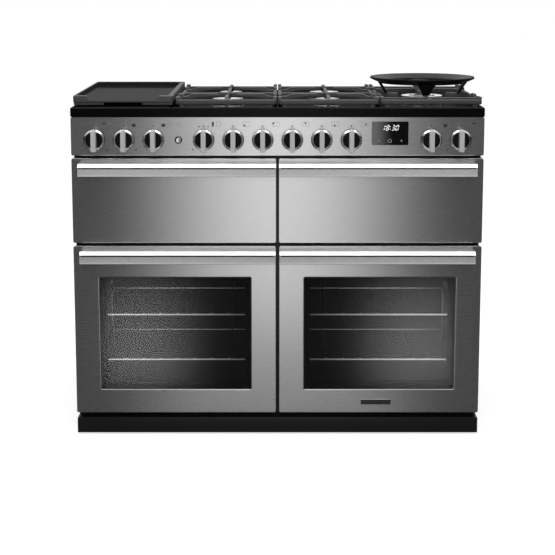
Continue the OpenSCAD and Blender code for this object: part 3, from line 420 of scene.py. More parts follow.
def folded_front(x0, x1, z0, z1, depth, hole=None):
    """A folded steel shell, open at the back, with a rounded front edge and perhaps a window."""
    edge = 1.5
    inside = rounded_rect(x0, x1, z0, z1, CORNER - SHEET, SHEET)
    rings = [upright(FRONT + SHEET + edge, inside), upright(FRONT + depth, inside),
             upright(FRONT + depth, rounded_rect(x0, x1, z0, z1, CORNER))]
    for inset, step in arc(edge, edge, edge, 180, 270, 3):
        rings.append(upright(FRONT + step, rounded_rect(x0, x1, z0, z1, CORNER - inset, inset)))
    if hole:
        *sides, r = hole
        lip = 3
        rolled = [(lip - u, lip - v) for u, v in arc(0, 0, lip, 90, 37, 4)]
        for out, step in rolled + [(0.1, SHEET + 0.8), (lip, SHEET + edge)]:
            rings.append(upright(FRONT + step, rounded_rect(*sides, r + out, -out)))
    shape = Shape()
    shape.loft(rings, closed=bool(hole))
    return shape


def lower_door(side):
    """An oven door's panel with its hinge blocks."""
    shape = folded_front(4, HALF_W, LOW_Z0, LOW_Z1, DEPTH, WINDOW_HOLE)
    block = 34
    for z in (LOW_Z0 + 1, LOW_Z1 - 24):
        shape.box((HALF_W - block, FRONT + 1.1, z), (HALF_W - 1.1, FRONT + 28, z + 16), 0.6)
    cuts = Shape()
    cuts.box((HALF_W - block, FRONT + SHEET + 0.4, LOW_Z1 - 6), (HALF_W + 1, FRONT + 37, LOW_Z1 + 1), 0.1)
    for low, high in ((LOW_Z0 - 1, LOW_Z0 + 14), (LOW_Z1 - 26, LOW_Z1 + 1)):
        cuts.lathe([(PIN_R, low), (PIN_R, high)], (HINGE_X, HINGE_Y, 0))
    name = side + "_door_panel"
    shape.piece(name + "_skin", side + "_oven_door", STAINLESS, "stainless", (name,), cuts=cuts,
                mirror=side == "left")


def badge():
    """The bare badge plate of the right oven door: a bright rim round a dark face."""
    shape = Shape()
    rim = ((0, 0.1), (0, 0.7), (0.3, 1.1), (1.2, 1.1), (1.3, 0.8))
    face = ((1.25, 0.6), (1.25, 1.0), (1.6, 1.1))
    for slot, r, steps in ((0, 2, rim), (1, 1.2, face)):
        shape.slot = slot
        shape.loft([upright(FRONT - out, rounded_rect(*BADGE, r, inset)) for inset, out in steps])
    shape.piece("badge_plate", "right_oven_door", [HANDLE, PLASTIC], "stainless")


def panes(side):
    """The two panes of an oven door: the outer one behind the window, the inner one closing its box."""
    *sides, r = WINDOW_HOLE
    found = []
    for name, out, y, material in (("_outer_pane", 10, FRONT + SHEET, OUTER_GLASS),
                                   ("_inner_pane", -6, FRONT + DEPTH - 6, INNER_GLASS)):
        shape = Shape()
        shape.loft([upright(y + step, rounded_rect(*sides, r, inset - out))
                    for step, inset in ((4, 0.4), (3.6, 0), (0.4, 0), (0, 0.4))])
        found.append(shape.piece(side + name, side + "_oven_door", material, "door_glass",
                                 (side + "_door_glass",), mirror=side == "left"))
    return found


def upper_front():
    """What the fronts of the grill door and the drawer share: the folded shell and its back plate."""
    sides = (3, HALF_W, UP_Z0, UP_Z1)
    shape = folded_front(*sides, DEPTH)
    inner = rounded_rect(*sides, CORNER - SHEET, SHEET)
    shape.loft([upright(FRONT + DEPTH - 2, inner), upright(FRONT + DEPTH, inner)])
    return shape


def grill_front():
    """The grill door's panel with the blocks that turn on its pins."""
    shape = upper_front()
    pin_y, pin_z = FRONT + 12, UP_Z0 + 12
    for x in (HALF_W - 22, 19):
        shape.box((x, FRONT + 1.1, UP_Z0 + 1.1), (x + 6, FRONT + DEPTH - 1, UP_Z0 + 26), 0.6)
    cuts = Shape()
    for x0, x1 in ((HALF_W - 16, HALF_W + 1), (2, 19)):
        cuts.box((x0, FRONT + SHEET + 0.4, UP_Z0 - 1), (x1, FRONT + DEPTH + 1, pin_z + 12), 0.1)
    for x0, x1 in ((HALF_W - 26, HALF_W + 1), (2, 29)):
        cuts.lathe([(PIN_R, x0), (PIN_R, x1)], (0, pin_y, pin_z), "x")
    shape.piece("grill_door_skin", "grill_door", STAINLESS, "stainless", ("grill_door_panel",), cuts=cuts,
                mirror=True)


def drawer_front():
    """The drawer's front."""
    upper_front().piece("drawer_front_skin", "drawer", STAINLESS, "stainless", ("drawer_front",))


KNOBS = {
    "grill_knob": -484, "left_function_knob": -406, "left_oven_knob": -328, "hotplate_knob": -195,
    "gas_knob_1": -117, "gas_knob_2": -39, "gas_knob_3": 39, "gas_knob_4": 117, "gas_knob_5": 195,
    "right_oven_knob": 406, "right_function_knob": 484,
}
BUTTON_X = -261.5
PANEL_DEPTH = 45
SCREEN_LOW, SCREEN_HIGH = node_box("display_glass")


def control_panel():
    """The folded control panel with a hole for each spindle, the button and the clock."""
    shape = folded_front(-HALF_W, HALF_W, PANEL_LOW.z, PANEL_HIGH.z, PANEL_DEPTH)
    cuts = Shape()
    spindle_hole, button_hole, rim = 6.3, 8.4, 6
    for x in KNOBS.values():
        cuts.lathe([(spindle_hole, -2), (spindle_hole, 5)], (x, FRONT, KNOB_Z), "y")
    cuts.lathe([(button_hole, -2), (button_hole, 5)], (BUTTON_X, FRONT, KNOB_Z), "y", 32)
    cuts.box((SCREEN_LOW.x + rim, FRONT - 2, SCREEN_LOW.z + rim),
             (SCREEN_HIGH.x - rim, FRONT + 5, SCREEN_HIGH.z - rim), 0.5)
    cuts.box((6 - HALF_W, FRONT + 30, PANEL_HIGH.z - 3), (HALF_W - 6, FRONT + 50, PANEL_HIGH.z + 1), 0.1)
    return shape.piece("control_panel_skin", "cooker", STAINLESS, "stainless", ("control_panel",),
                       cuts=cuts)


# Handles

HANDLE_END = 525
LOW_HANDLE_TOP, UP_HANDLE_TOP = 513.2, 747.3


def handle(name, body, x0, top, mirror=False):
    """A bar on end plates: a top bevel in lighter steel as a painted highlight, a groove under it painted
    black as painted shade, and a face that flares below.
    """
    bevel, thick, out, low = 9, 5, FRONT - 40, top - 33.4
    groove_high, groove_low, groove_back = top - bevel - 0.4, top - bevel - 4.4, out + 5
    profile = [(FRONT, top - 9), (FRONT, top - 13), (out + 12, top - 5), (out + thick, top - 13),
               (out + thick, low), (out + 1.2, low), (out, low + 0.9), (out + 1.1, low + 5),
               (out + 0.2, groove_low), (groove_back, groove_low), (groove_back, groove_high),
               (out, groove_high), (out, top - bevel), (out + bevel, top)]
    shape = Shape()
    shape.loft([[(x, y, z) for y, z in profile] for x in (x0, HANDLE_END)])
    for x in (x0, HANDLE_END - 4):
        shape.box((x + 0.1, out + thick - 0.4, low + 2), (x + 3.9, FRONT, top - 8), 0.5)
    obj = shape.piece(name + "_bar", body, [HANDLE, HANDLE_TOP, PAINT], "bright_steel", (name,),
                      mirror=mirror, round_off=0.25)
    # The top bevel's upward faces take the lighter steel as a painted highlight, the groove's faces black
    # paint as painted shade.
    for polygon in obj.data.polygons:
        centre = polygon.center / MM
        if polygon.normal.z > 0.4 and polygon.normal.y < -0.2 and centre.z > groove_high:
            polygon.material_index = 1
        elif groove_low - 0.1 < centre.z < groove_high + 0.1 and out + 0.5 < centre.y < groove_back + 0.3:
            polygon.material_index = 2
    return obj


# Controls

def knob(name, x):
    """A knob: bright sloped ring whose back and outer wall are black as painted shade, recessed black
    face, satin grip bar and spindle.
    """
    back = FRONT - 1.6
    centre = (x, back, KNOB_Z)
    shape = Shape()
    ring = [(22.2, -1.0), (28.0, -0.2), (28.5, -0.8), (28.5, -3.2), (28.2, -4.4), (27.0, -5.8),
            (25.2, -7.4), (23.8, -8.6), (22.9, -9.0), (22.4, -8.6), (22.2, -7.4)]
    steps = 72
    shape.lathe(ring, centre, "y", steps, closed=True)
    # The ring's back and outer wall take the black face's material: painted shade for a dark outline round
    # the knob.
    skirt = 4
    shape.slots[:skirt * steps] = [1] * (skirt * steps)
    spindle_r, spindle = 3, 39.5
    shape.lathe([(spindle_r, 0), (spindle_r, spindle)], centre, "y", 20)
    shape.slot = 1
    shape.lathe([(spindle_r + 0.1, -0.3), (22.3, -1.2), (22.3, -7.0), (21.4, -7.3), (14, -7.6)],
                centre, "y", steps)
    shape.slot = 2
    grip(shape, x, back)
    return shape.piece(name + "_turned", name, [CHROME, KNOB_BLACK, GRIP], "knob_steel", (name,), sharp=40)


def grip(shape, x, back):
    """The grip bar: flat front and sides with softly rounded edges."""
    low, high, front = KNOB_Z - 29.5, KNOB_Z + 27.5, FRONT - 32
    sections = ((back - 6.2, 6.3, 0), (front + 4, 6.3, 0), (front + 1.2, 6.1, 0.2),
                (front + 0.35, 5.6, 0.7), (front, 4.9, 1.4))
    shape.loft([upright(y, rounded_rect(x - half, x + half, low + inset, high - inset, 1.6, steps=4))
                for y, half, inset in sections])


def button():
    """The ignition button and its dark bezel."""
    centre = (BUTTON_X, FRONT, KNOB_Z)
    cap = Shape()
    cap.lathe([(7.3, 8), (7.4, -6.3), (6.9, -7.2), (5.6, -7.6), (4.4, -7.2), (2.5, -6.9)], centre, "y", 48)
    cap.piece("ignition_button_cap", "ignition_button", CHROME, "knob_steel", ("ignition_button",))
    bezel = Shape()
    bezel.lathe([(7.8, 1), (9.2, 0), (9.9, -0.2), (9.9, -2.4), (9.2, -3.3), (8.3, -3.3), (7.8, -2.4)],
                centre, "y", 48, closed=True)
    bezel.piece("ignition_bezel", "cooker", KNOB_BLACK, "switch_plastic")


PRINT_OUT, PRINT_IN = 0.12, 0.3


def flat_print(shape, x0, x1, z0, z1, y, slant=0.0):
    """A thin printed bar; slant leans its top to the right."""
    shift = slant * (z1 - z0) / 2
    corners = [(x0 - shift, z0), (x1 - shift, z0), (x1 + shift, z1), (x0 + shift, z1)]
    shape.loft([upright(y + PRINT_IN, corners), upright(y - PRINT_OUT, corners)])


def outline_print(shape, x0, x1, z0, z1, y):
    """A thin printed frame."""
    line = 0.7
    rings = []
    for inset, step in ((0, PRINT_IN), (0, -PRINT_OUT), (line, -PRINT_OUT), (line, PRINT_IN)):
        left, right, low, high = x0 + inset, x1 - inset, z0 + inset, z1 - inset
        rings.append(upright(y + step, [(left, low), (right, low), (right, high), (left, high)]))
    shape.loft(rings, closed=True)


def panel_marks():
    """Ticks over the knobs and small plain pictograms beside them."""
    dark = Shape()
    faint = Shape()

    def tick(x, dz=36.5, half=1.1, tall=5):
        """A tick over a knob."""
        flat_print(dark, x - half, x + half, KNOB_Z + dz - tall / 2, KNOB_Z + dz + tall / 2, FRONT)

    def patch(shape, x, dz, wide, tall, drawn=flat_print):
        """A print of a given size round a point beside a knob."""
        drawn(shape, x - wide / 2, x + wide / 2, KNOB_Z + dz - tall / 2, KNOB_Z + dz + tall / 2, FRONT)

    for x in KNOBS.values():
        tick(x)
    for dx in (-12, 12):
        tick(KNOBS["hotplate_knob"] + dx, 35.5, 1.4, 3.4)
    for x, dz in ((-451, -26), (-374, -26), (-224, -26), (450, -26)):
        patch(dark, x, dz, 3.6, 3.6)
    for x, side, wide, tall, dz in ((-457, 1, 8, 3.6, 44), (-379, 1, 10, 8, 39), (-301, 1, 10, 8, 39),
                                    (-170.5, 1, 5, 12, 42), (442.5, -1, 10, 8, 38), (518, -1, 9, 3.6, 44)):
        patch(dark, x, dz, wide, tall)
        patch(faint, x + side * 15, dz, 10, tall + 2 if tall > 4 else 6, outline_print)
    patch(faint, BUTTON_X, 40, 5, 9, outline_print)
    spots = {"gas_knob_1": (29.6, 38.6), "gas_knob_2": (28.5, 44), "gas_knob_3": (34.7, 44),
             "gas_knob_4": (34, 38.6), "gas_knob_5": (38, 41)}
    for name, (dx, dz) in spots.items():
        x = KNOBS[name]
        patch(faint, x + 35, 42, 19, 12, outline_print)
        dark.lathe([(2.3, PRINT_IN), (2.3, -PRINT_OUT)], (x + dx, FRONT, KNOB_Z + dz), "y", 16)
    dark.piece("panel_marks_dark", "cooker", PRINT, "stainless", sharp=80)
    faint.piece("panel_marks_faint", "cooker", PALE_PRINT, "stainless", sharp=80)


SEGMENTS = {"1": "bc", "8": "abcdefg", "3": "abgcd", "0": "abcdef"}
DIGIT_WIDE, DIGIT_TALL, DIGIT_SLANT = 6.2, 13.2, 0.26
SIGN_OUT = 0.1


def digit(shape, char, x, z, y):
    """A seven-segment digit centred on x and z."""
    w, h = DIGIT_WIDE, DIGIT_TALL
    t = 0.14 * h
    rows = {"a": h / 2, "g": 0, "d": -h / 2}
    columns = {"b": (1, 1), "c": (1, -1), "e": (-1, -1), "f": (-1, 1)}
    for segment in SEGMENTS[char]:
        if segment in rows:
            cz = rows[segment]
            ring = [(-w / 2 + 0.6 * t, cz), (-w / 2 + t, cz - t / 2), (w / 2 - t, cz - t / 2),
                    (w / 2 - 0.6 * t, cz), (w / 2 - t, cz + t / 2), (-w / 2 + t, cz + t / 2)]
        else:
            u, v = columns[segment]
            cx = u * w / 2
            za, zb = sorted((0.12 * t * v, v * h / 2))
            ring = [(cx, za + 0.5 * t), (cx + t / 2, za + t), (cx + t / 2, zb - t), (cx, zb - 0.5 * t),
                    (cx - t / 2, zb - t), (cx - t / 2, za + t)]
        placed = [(x + px + DIGIT_SLANT * pz, z + pz) for px, pz in ring]
        shape.loft([upright(y + PRINT_IN, placed), upright(y - SIGN_OUT, placed)])


def display():
    """The clock glass with its lit digits and three touch signs."""
    x0, x1, z0, z1 = SCREEN_LOW.x, SCREEN_HIGH.x, SCREEN_LOW.z, SCREEN_HIGH.z
    y = SCREEN_LOW.y
    pane = Shape()
    pane.loft([upright(FRONT - step, rounded_rect(x0, x1, z0, z1, 3 - inset, inset))
               for inset, step in ((0, 0), (0, 1.4), (0.2, 1.8), (0.6, 2.0))])
    clock = pane.piece("display_pane", "cooker", SCREEN, "display_glass", ("display_glass",))
    middle = (x0 + x1) / 2 + 1
    time_z, sign_z = z1 - 16.5, z0 + 11.5
    lit = Shape()
    for char, offset in (("1", -19), ("8", -7.6), ("3", 7.4), ("0", 17.6)):
        digit(lit, char, middle + offset, time_z, y)
    dot = 0.8
    for v in (-1, 1):
        x, z = middle - 0.4 + 0.45 * v, time_z + 3.2 * v
        flat_print(lit, x - dot, x + dot, z - dot, z + dot, y, 0.16)
    lit.piece("display_digits", "cooker", LIT, "display_glass", sharp=80)
    signs = Shape()
    signs.lathe([(4.9, PRINT_IN), (4.9, -SIGN_OUT), (4.1, -SIGN_OUT), (4.1, PRINT_IN)],
                (middle - 1.5, y, sign_z), "y", 32, closed=True)
    minus, plus, half, line = middle - 31, middle + 29, 3, 0.4
    for x in (minus, plus):
        flat_print(signs, x - half, x + half, sign_z - line, sign_z + line, y)
    flat_print(signs, plus - line, plus + line, sign_z - half, sign_z + half, y)
    signs.piece("display_signs", "cooker", DIM, "display_glass", sharp=80)
    return clock


# Hob

def hob_tray():
    """The enamelled tray with a raised edge round its well; a step is an inset, a height and a radius."""
    x, y0, y1 = HOB_HIGH.x, HOB_LOW.y, HOB_HIGH.y
    low, edge = HOB_LOW.z, 5
    rolled = [(inset, z, 10) for inset, z in arc(edge, EDGE_Z - edge, edge, 180, 90, 5)]
    steps = [(5, WELL_Z - 2, 5), (5, low, 5), (1, low, 9), (0, low + 1, 10), *rolled, (10.6, EDGE_Z, 11),
             (11.6, EDGE_Z - 0.4, 10.5), (12.4, EDGE_Z - 1.6, 10), (13.2, WELL_Z + 0.5, 10),
             (14.6, WELL_Z, 10)]
    shape = Shape()
    shape.loft([flat(z, rounded_rect(-x, x, y0, y1, r, inset, 6)) for inset, z, r in steps])
    shape.piece("hob_tray", "cooker", ENAMEL, "hob_enamel", ("hob_top",), sharp=50)


COLUMNS = (-136.5, 136.5, 409.5)
ROWS = (-121.5, 118.5)
SUPPORT_MID = -1.5
QUARTERS = (0, 90, 180, 270)
BURNERS = ((COLUMNS[0], ROWS[0], 46), (COLUMNS[0], ROWS[1], 36), (COLUMNS[1], ROWS[0], 36),
           (COLUMNS[1], ROWS[1], 46), (COLUMNS[2], SUPPORT_MID, 62))
CAP_LOW, CAP_TALL = 898, 7
SPARK_LOW = 892
WOK_RING = [(37.4, 0), (57.4, 0), (58, 0.7), (58, 3.6), (57, 4.8), (55.6, 5), (39.4, 5), (37.6, 4.4),
            (37, 3), (37, 0.5)]


def crown(shape, centre, outer, inner):
    """A ring with flame slots round it."""
    count = 4 * max(18, int(outer * 0.9))
    slotted = [outer if i % 4 in (0, 1) else outer - 2.2 for i in range(count)]
    plain = [inner] * count
    low, high = WELL_Z + 3.9, WELL_Z + 9
    turns = [2 * math.pi * i / count for i in range(count)]
    rings = []
    for radii, z in ((plain, low), (slotted, low), (slotted, high), (plain, high)):
        rings.append([(centre[0] + r * math.cos(a), centre[1] + r * math.sin(a), z)
                      for r, a in zip(radii, turns)])
    shape.loft(rings, closed=True)


def domed(shape, centre, r):
    """A cap with a rounded edge and a slight dome."""
    h = CAP_TALL
    shape.lathe([(r - 0.8, 0), (r, 0.8), (r, 0.5 * h), (r - 0.8, 0.72 * h), (r - 2.4, 0.88 * h),
                 (r * 0.6, 0.97 * h), (r * 0.25, h)], (*centre, CAP_LOW), steps=64)


def burners():
    """Bases with flame slots, enamelled caps and spark pins; the wok burner has an outer ring as well."""
    bases, caps, sparks = Shape(), Shape(), Shape()
    for x, y, r in BURNERS:
        bases.lathe([(19.5, HOB_LOW.z - 20 - WELL_Z), (19.9, 0.1), (r - 0.6, 0.1), (r, 0.7), (r, 2.6),
                     (r - 1, 3.6), (r - 5, 4), (r - 12, 4)], (x, y, WELL_Z), steps=64)
        crown(bases, (x, y), r - 6, r - 14)
        wok = x == COLUMNS[2]
        if wok:
            crown(bases, (x, y), 29, 14)
            caps.lathe(WOK_RING, (x, y, CAP_LOW), steps=72, closed=True)
        domed(caps, (x, y), 31 if wok else r - 4)
        angle = math.radians(215 if x < 0 else 325)
        beside = (x + (r - 2.5) * math.cos(angle), y + (r - 2.5) * math.sin(angle), SPARK_LOW)
        sparks.lathe([(2.6, 0), (2.6, 5.5), (1.9, 6.6), (0.9, 7), (0.9, 9)], beside, steps=14)
    bases.piece("burner_crowns", "cooker", ALLOY, "burner_alloy", ("burner_bases",))
    lids = caps.piece("burner_lids", "cooker", CAP, "hob_enamel", ("burner_caps",))
    sparks.piece("spark_pins", "cooker", CERAMIC_WHITE, "burner_alloy")
    return lids


SUPPORT_Y0, SUPPORT_Y1 = -245.5, 242.5
SUPPORT_HALF = 135
BAR, BAR_LOW, BAR_TOP, REST_TOP = 10, 897, 910, 917
FOOT_LOW, FOOT_TOP = 889.4, 898
CAST_R = 1.8


def cross(shape, cx, angle, start, end):
    """A cast bar from start to end, measured from a support's middle along one of the four directions."""
    ahead, aside = {0: (1, 0), 90: (0, 1), 180: (-1, 0), 270: (0, -1)}[angle]
    half = BAR / 2
    xs = sorted((cx + ahead * start - aside * half, cx + ahead * end + aside * half))
    ys = sorted((SUPPORT_MID + aside * start - ahead * half, SUPPORT_MID + aside * end + ahead * half))
    shape.box((xs[0], ys[0], BAR_LOW), (xs[1], ys[1], BAR_TOP), CAST_R)


def finger(shape, cx, cy, angle, reach):
    """A cast finger that thins towards the burner, its underside arched; it rises to the rest's height."""
    half = BAR / 2
    turn = Matrix.Rotation(math.radians(angle), 3, "Z")
    stations = ((26, 911, 914, 2.6), (27.5, 909.4, 916.4, 3.6), (31, 908.4, REST_TOP, 4.2),
                (62, 907, REST_TOP, half), (84, 904.8, REST_TOP, half), (98, 902, REST_TOP - 0.4, half),
                (104, 900.4, BAR_TOP + 4, half), (110, 898.8, BAR_TOP + 0.6, half),
                (118, 897.5, BAR_TOP, half), (reach, BAR_LOW, BAR_TOP, half))
    rings = []
    for r, low, high, w in stations:
        section = rounded_rect(-w, w, low, high, min(CAST_R, 0.4 * (high - low)), steps=3)
        rings.append([tuple(Vector((cx, cy, 0)) + turn @ Vector((r, u, v))) for u, v in section])
    shape.loft(rings)


def support(name, cx, wok=False):
    """A cast pan support: rounded frame, fingers round the burners, pan rests and feet."""
    x0, x1 = cx - SUPPORT_HALF, cx + SUPPORT_HALF
    mid0, mid1 = SUPPORT_MID - BAR / 2, SUPPORT_MID + BAR / 2
    outer = ((CAST_R, BAR_LOW), (0, BAR_LOW + CAST_R), (0, BAR_TOP - CAST_R), (0.5, BAR_TOP - 0.5),
             (CAST_R, BAR_TOP))
    inner = ((BAR - CAST_R, BAR_TOP), (BAR - 0.5, BAR_TOP - 0.5), (BAR, BAR_TOP - CAST_R),
             (BAR, BAR_LOW + CAST_R), (BAR - CAST_R, BAR_LOW))
    shape = Shape()
    shape.loft([flat(z, rounded_rect(x0, x1, SUPPORT_Y0, SUPPORT_Y1, r, inset))
                for r, steps in ((9, outer), (4, inner)) for inset, z in steps], closed=True)
    for x in (x0 + 12, x1 - 24):
        for y in (SUPPORT_Y0 + 2, SUPPORT_Y1 - 16):
            shape.box((x, y, FOOT_LOW), (x + 12, y + 14, FOOT_TOP), 1.2)
    if wok:
        for a in QUARTERS:
            cross(shape, cx, a, 68, SUPPORT_HALF - 1 if a % 180 == 0 else 243)
        for s in (-160, 160):
            shape.box((x0 + 1, mid0 + s, BAR_LOW), (x1 - 1, mid1 + s, BAR_TOP), CAST_R)
    else:
        shape.box((x0 + 1, mid0, BAR_LOW), (x1 - 1, mid1, BAR_TOP), CAST_R)
        shape.box((cx - BAR / 2, SUPPORT_MID - 60, BAR_LOW),
                  (cx + BAR / 2, SUPPORT_MID + 60, BAR_TOP), CAST_R)
        shape.box((cx - 4, SUPPORT_Y0 + 2, FOOT_LOW), (cx + 4, SUPPORT_Y0 + 12, FOOT_TOP), 1.2)
        for y in ROWS:
            for a in QUARTERS:
                finger(shape, cx, y, a, SUPPORT_HALF - 1 if a % 180 == 0 else 123)
    for x in (x0, x1 - BAR):
        for y in (SUPPORT_Y0 + 6, ROWS[0] - 20, ROWS[1] - 20, SUPPORT_Y1 - 46):
            shape.box((x, y, BAR_TOP - 2), (x + BAR, y + 40, REST_TOP), CAST_R)
    shape.piece(name + "_casting", name, CAST, "cast_iron", (name,), sharp=60)


def griddle():
    """A cast plate with a rim, its front wall lowered between two ears; the rim rises towards the back."""
    x0, x1, y0, y1 = -544.5, -278.5, SUPPORT_Y0, SUPPORT_Y1
    low, plate, top, rise = 902, 908, 921, 3
    hotplate_x, foot = -409.5, [(7.6, 892.4), (8, 893), (8, 903)]

    def ring(sides, r, inset, z):
        """A ring of the plate or its rim, which alone rises."""
        slope = rise / (y1 - y0) if z > plate + 5 else 0
        return [(x, y, z + slope * (y - y0)) for x, y in rounded_rect(*sides, r, inset)]

    outer = (x0, x1, y0, y1)
    inner = (x0 + 6, x1 - 14, y0 + 14, y1 - 6)
    shape = Shape()
    wall = ((2.5, low), (0.6, low + 0.8), (0, low + 2.5), (0, top - 2.5), (0.7, top - 0.8), (2.4, top))
    well = ((-1.6, top), (-0.5, top - 0.5), (0, top - 1.6), (1.5, top - 7), (3, plate + 2.4), (5, plate))
    shape.loft([ring(outer, 9 - inset / 2, inset, z) for inset, z in wall]
               + [ring(inner, 9, inset, z) for inset, z in well])
    for x in (x0 + 2, x1 - 82):
        for y in (y0 + 2, y1 - 42):
            shape.box((x, y, low - 6), (x + 80, y + 40, low + 1), 1.2)
    for x in (hotplate_x - 95, hotplate_x + 95):
        for y in (SUPPORT_MID - 195, SUPPORT_MID + 195):
            shape.lathe(foot, (x, y, 0))
    left, right = x0 + 36, x1 - 36
    notch = [(right - 7, plate), (right + 6, top + 12), (left - 6, top + 12), (left + 7, plate)]
    cuts = Shape()
    cuts.loft([upright(y, notch) for y in (y0 - 2, y0 + 26)])
    obj = shape.piece("griddle_casting", "griddle", [CAST, GRIDDLE], "cast_iron", ("griddle",), cuts=cuts,
                      sharp=50)
    # The plate and the rim's inner walls take a darker material than the rest of the casting.
    for polygon in obj.data.polygons:
        x, y, z = polygon.center / MM
        if x0 + 4 < x < x1 - 10 and y0 + 10 < y < y1 - 4 and plate - 1 < z < top - 1:
            polygon.material_index = 1


def wok_cradle():
    """A conical ring on four tapered legs."""
    cx, cy, rim, foot = COLUMNS[2], SUPPORT_MID, 956, 910.3
    shape = Shape()
    profile = [(147, -0.8), (146.2, 0), (144.4, 0), (117.6, -12.2), (117, -13.4), (117, -17.2),
               (117.8, -18), (146, -5.6), (147, -4.4)]
    shape.lathe(profile, (cx, cy, rim), steps=120, closed=True)
    steps = 6
    for angle in QUARTERS:
        turn = Matrix.Rotation(math.radians(angle), 3, "Z")
        rings = []
        for i in range(steps + 1):
            t = i / steps
            near, half = 98 + 20 * t, 11 + 18 * t ** 1.6
            thick = 8 if t < 1 else 7
            middle = Vector((cx, cy, foot + 33 * t))
            section = rounded_rect(near, near + thick, -half, half, 1.4, steps=2)
            rings.append([tuple(middle + turn @ Vector((u, v, 0))) for u, v in section])
        shape.loft(rings)
    shape.piece("wok_cradle_casting", "wok_cradle", CRADLE, "cast_iron", ("wok_cradle",), sharp=50)


# Plinth

def plinth():
    """The black plinth board, open behind, with a rounded top edge that catches the light."""
    low, high = node_box("plinth")
    shape = Shape()
    rings = []
    for inset, z in ((0, low.z), (0, high.z - 1.6), (0.5, high.z - 0.5), (1.6, high.z)):
        x, y = high.x - inset, low.y + inset
        rings.append([(-x, high.y, z), (-x, y, z), (x, y, z), (x, high.y, z)])
    shape.loft(rings)
    cuts = Shape()
    cuts.box((SHEET - high.x, low.y + SHEET, low.z - 5), (high.x - SHEET, high.y + 5, high.z - SHEET), 0.1)
    shape.piece("plinth_board", "cooker", PAINT, "black_paint", ("plinth",), cuts=cuts)


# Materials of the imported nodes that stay

def paint(material, *names):
    """Gives nodes a material in each of their slots."""
    for name in names:
        mesh = nodes[name].data
        if not mesh.materials:
            mesh.materials.append(material)
        for i in range(len(mesh.materials)):
            mesh.materials[i] = material


RACKS = ("shelf_racks", "left_shelves", "right_shelves")


def paint_nodes():
    """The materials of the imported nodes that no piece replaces."""
    paint(PAINT, "front_frame", "hinge_brackets", "levelling_feet")
    paint(OVEN, "left_oven_liner", "right_oven_liner", "grill_chamber", "grill_pan", "left_door_liner",
          "right_door_liner")
    paint(COVER, "fan_covers")
    paint(WIRE, *RACKS)
    paint(SIDE, "side_panels")
    paint(ZINC, "base_frame", "drawer_chamber", "drawer_box", "fan_motors", "rear_panel")
    paint(FAN, "left_fan", "right_fan")
    paint(SHEATH, "heating_elements")
    paint(CERAMIC, "hotplate")
    paint(BRASS, "gas_taps")
    paint(PLASTIC, "control_switches")
    paint(NYLON, "rear_rollers")
    paint(REAR, "rear_fittings")


# Studio, in metres

FRONT_CARD_Y, NEAR_CARD_Y = -1.58, -0.75
MIRRORED_FRONT = 0.13
DIFFUSE_LEVEL = 0.55
FLOOR_SIZE = 40
FLOOR_SEEN, FLOOR_UNSEEN, FLOOR_GLOW = 0.8, 0.09, 0.6


def lamp(name, place, target, width, height, radiance, glossy=True, diffuse=True):
    """A soft rectangular lamp of a given radiance, unseen by the camera."""
    data = bpy.data.lights.new(name, "AREA")
    data.shape = "RECTANGLE"
    data.size = width
    data.size_y = height
    data.energy = radiance * math.pi * width * height
    obj = bpy.data.objects.new(name, data)
    bpy.context.scene.collection.objects.link(obj)
    obj.location = place
    obj.rotation_euler = (Vector(target) - Vector(place)).to_track_quat("-Z", "Y").to_euler()
    obj.visible_camera = False
    obj.visible_transmission = False
    obj.visible_glossy = glossy
    obj.visible_diffuse = diffuse
    return obj


def fade(light, *spans):
    """Makes a lamp's light fall off smoothly. A span is an axis, the middle of its bright part, how far
    that reaches at full strength, and where it ends, all in shares of the lamp's size."""
    light.data.use_nodes = True
    tree = light.data.node_tree
    place = tree.nodes.new("ShaderNodeNewGeometry")
    split = tree.nodes.new("ShaderNodeSeparateXYZ")
    tree.links.new(place.outputs["Parametric"], split.inputs["Vector"])
    strength = None
    for axis, middle, full, none in spans:
        away = math_node(tree, "ABSOLUTE", math_node(tree, "SUBTRACT", split.outputs[axis], middle))
        part = map_range(tree, away, (full, none), (1, 0))
        strength = math_node(tree, "MULTIPLY", strength, part) if strength else part
    tree.links.new(strength, tree.nodes["Emission"].inputs["Strength"])


def card(name, x, y, z, width, height, radiance, *spans):
    """A fading lamp that faces the cooker's front squarely."""
    light = lamp(name, (x, y, z), (x, 0, z), width, height, radiance)
    fade(light, *spans)
    return light


def feed(tree, value, socket):
    """Sets a socket to a number, or links it to another socket."""
    if isinstance(value, (int, float)):
        socket.default_value = value
    else:
        tree.links.new(value, socket)


def math_node(tree, operation, first, second=None):
    """The result of one sum; each part is a socket or a number."""
    node = tree.nodes.new("ShaderNodeMath")
    node.operation = operation
    feed(tree, first, node.inputs[0])
    if second is not None:
        feed(tree, second, node.inputs[1])
    return node.outputs[0]


def only(light, objects, state="INCLUDE"):
    """Lets a lamp reach some objects alone, or everything but them."""
    group = bpy.data.collections.new(light.name)
    for obj in objects:
        group.objects.link(obj)
    for entry in group.collection_objects:
        entry.light_linking.link_state = state
    light.light_linking.receiver_collection = group


def mix_shader(tree, factor, first, second):
    """The second shader where the factor is 1, otherwise the first."""
    node = tree.nodes.new("ShaderNodeMixShader")
    tree.links.new(factor, node.inputs["Fac"])
    tree.links.new(first, node.inputs[1])
    tree.links.new(second, node.inputs[2])
    return node.outputs["Shader"]


def background(tree, strength):
    """A white background, its strength a socket or a number."""
    node = tree.nodes.new("ShaderNodeBackground")
    node.inputs["Color"].default_value = (1, 1, 1, 1)
    feed(tree, strength, node.inputs["Strength"])
    return node.outputs[0]


def matt(tree, shade):
    """A matt neutral surface."""
    node = tree.nodes.new("ShaderNodeBsdfDiffuse")
    node.inputs["Color"].default_value = (*grey(shade), 1)
    return node.outputs[0]


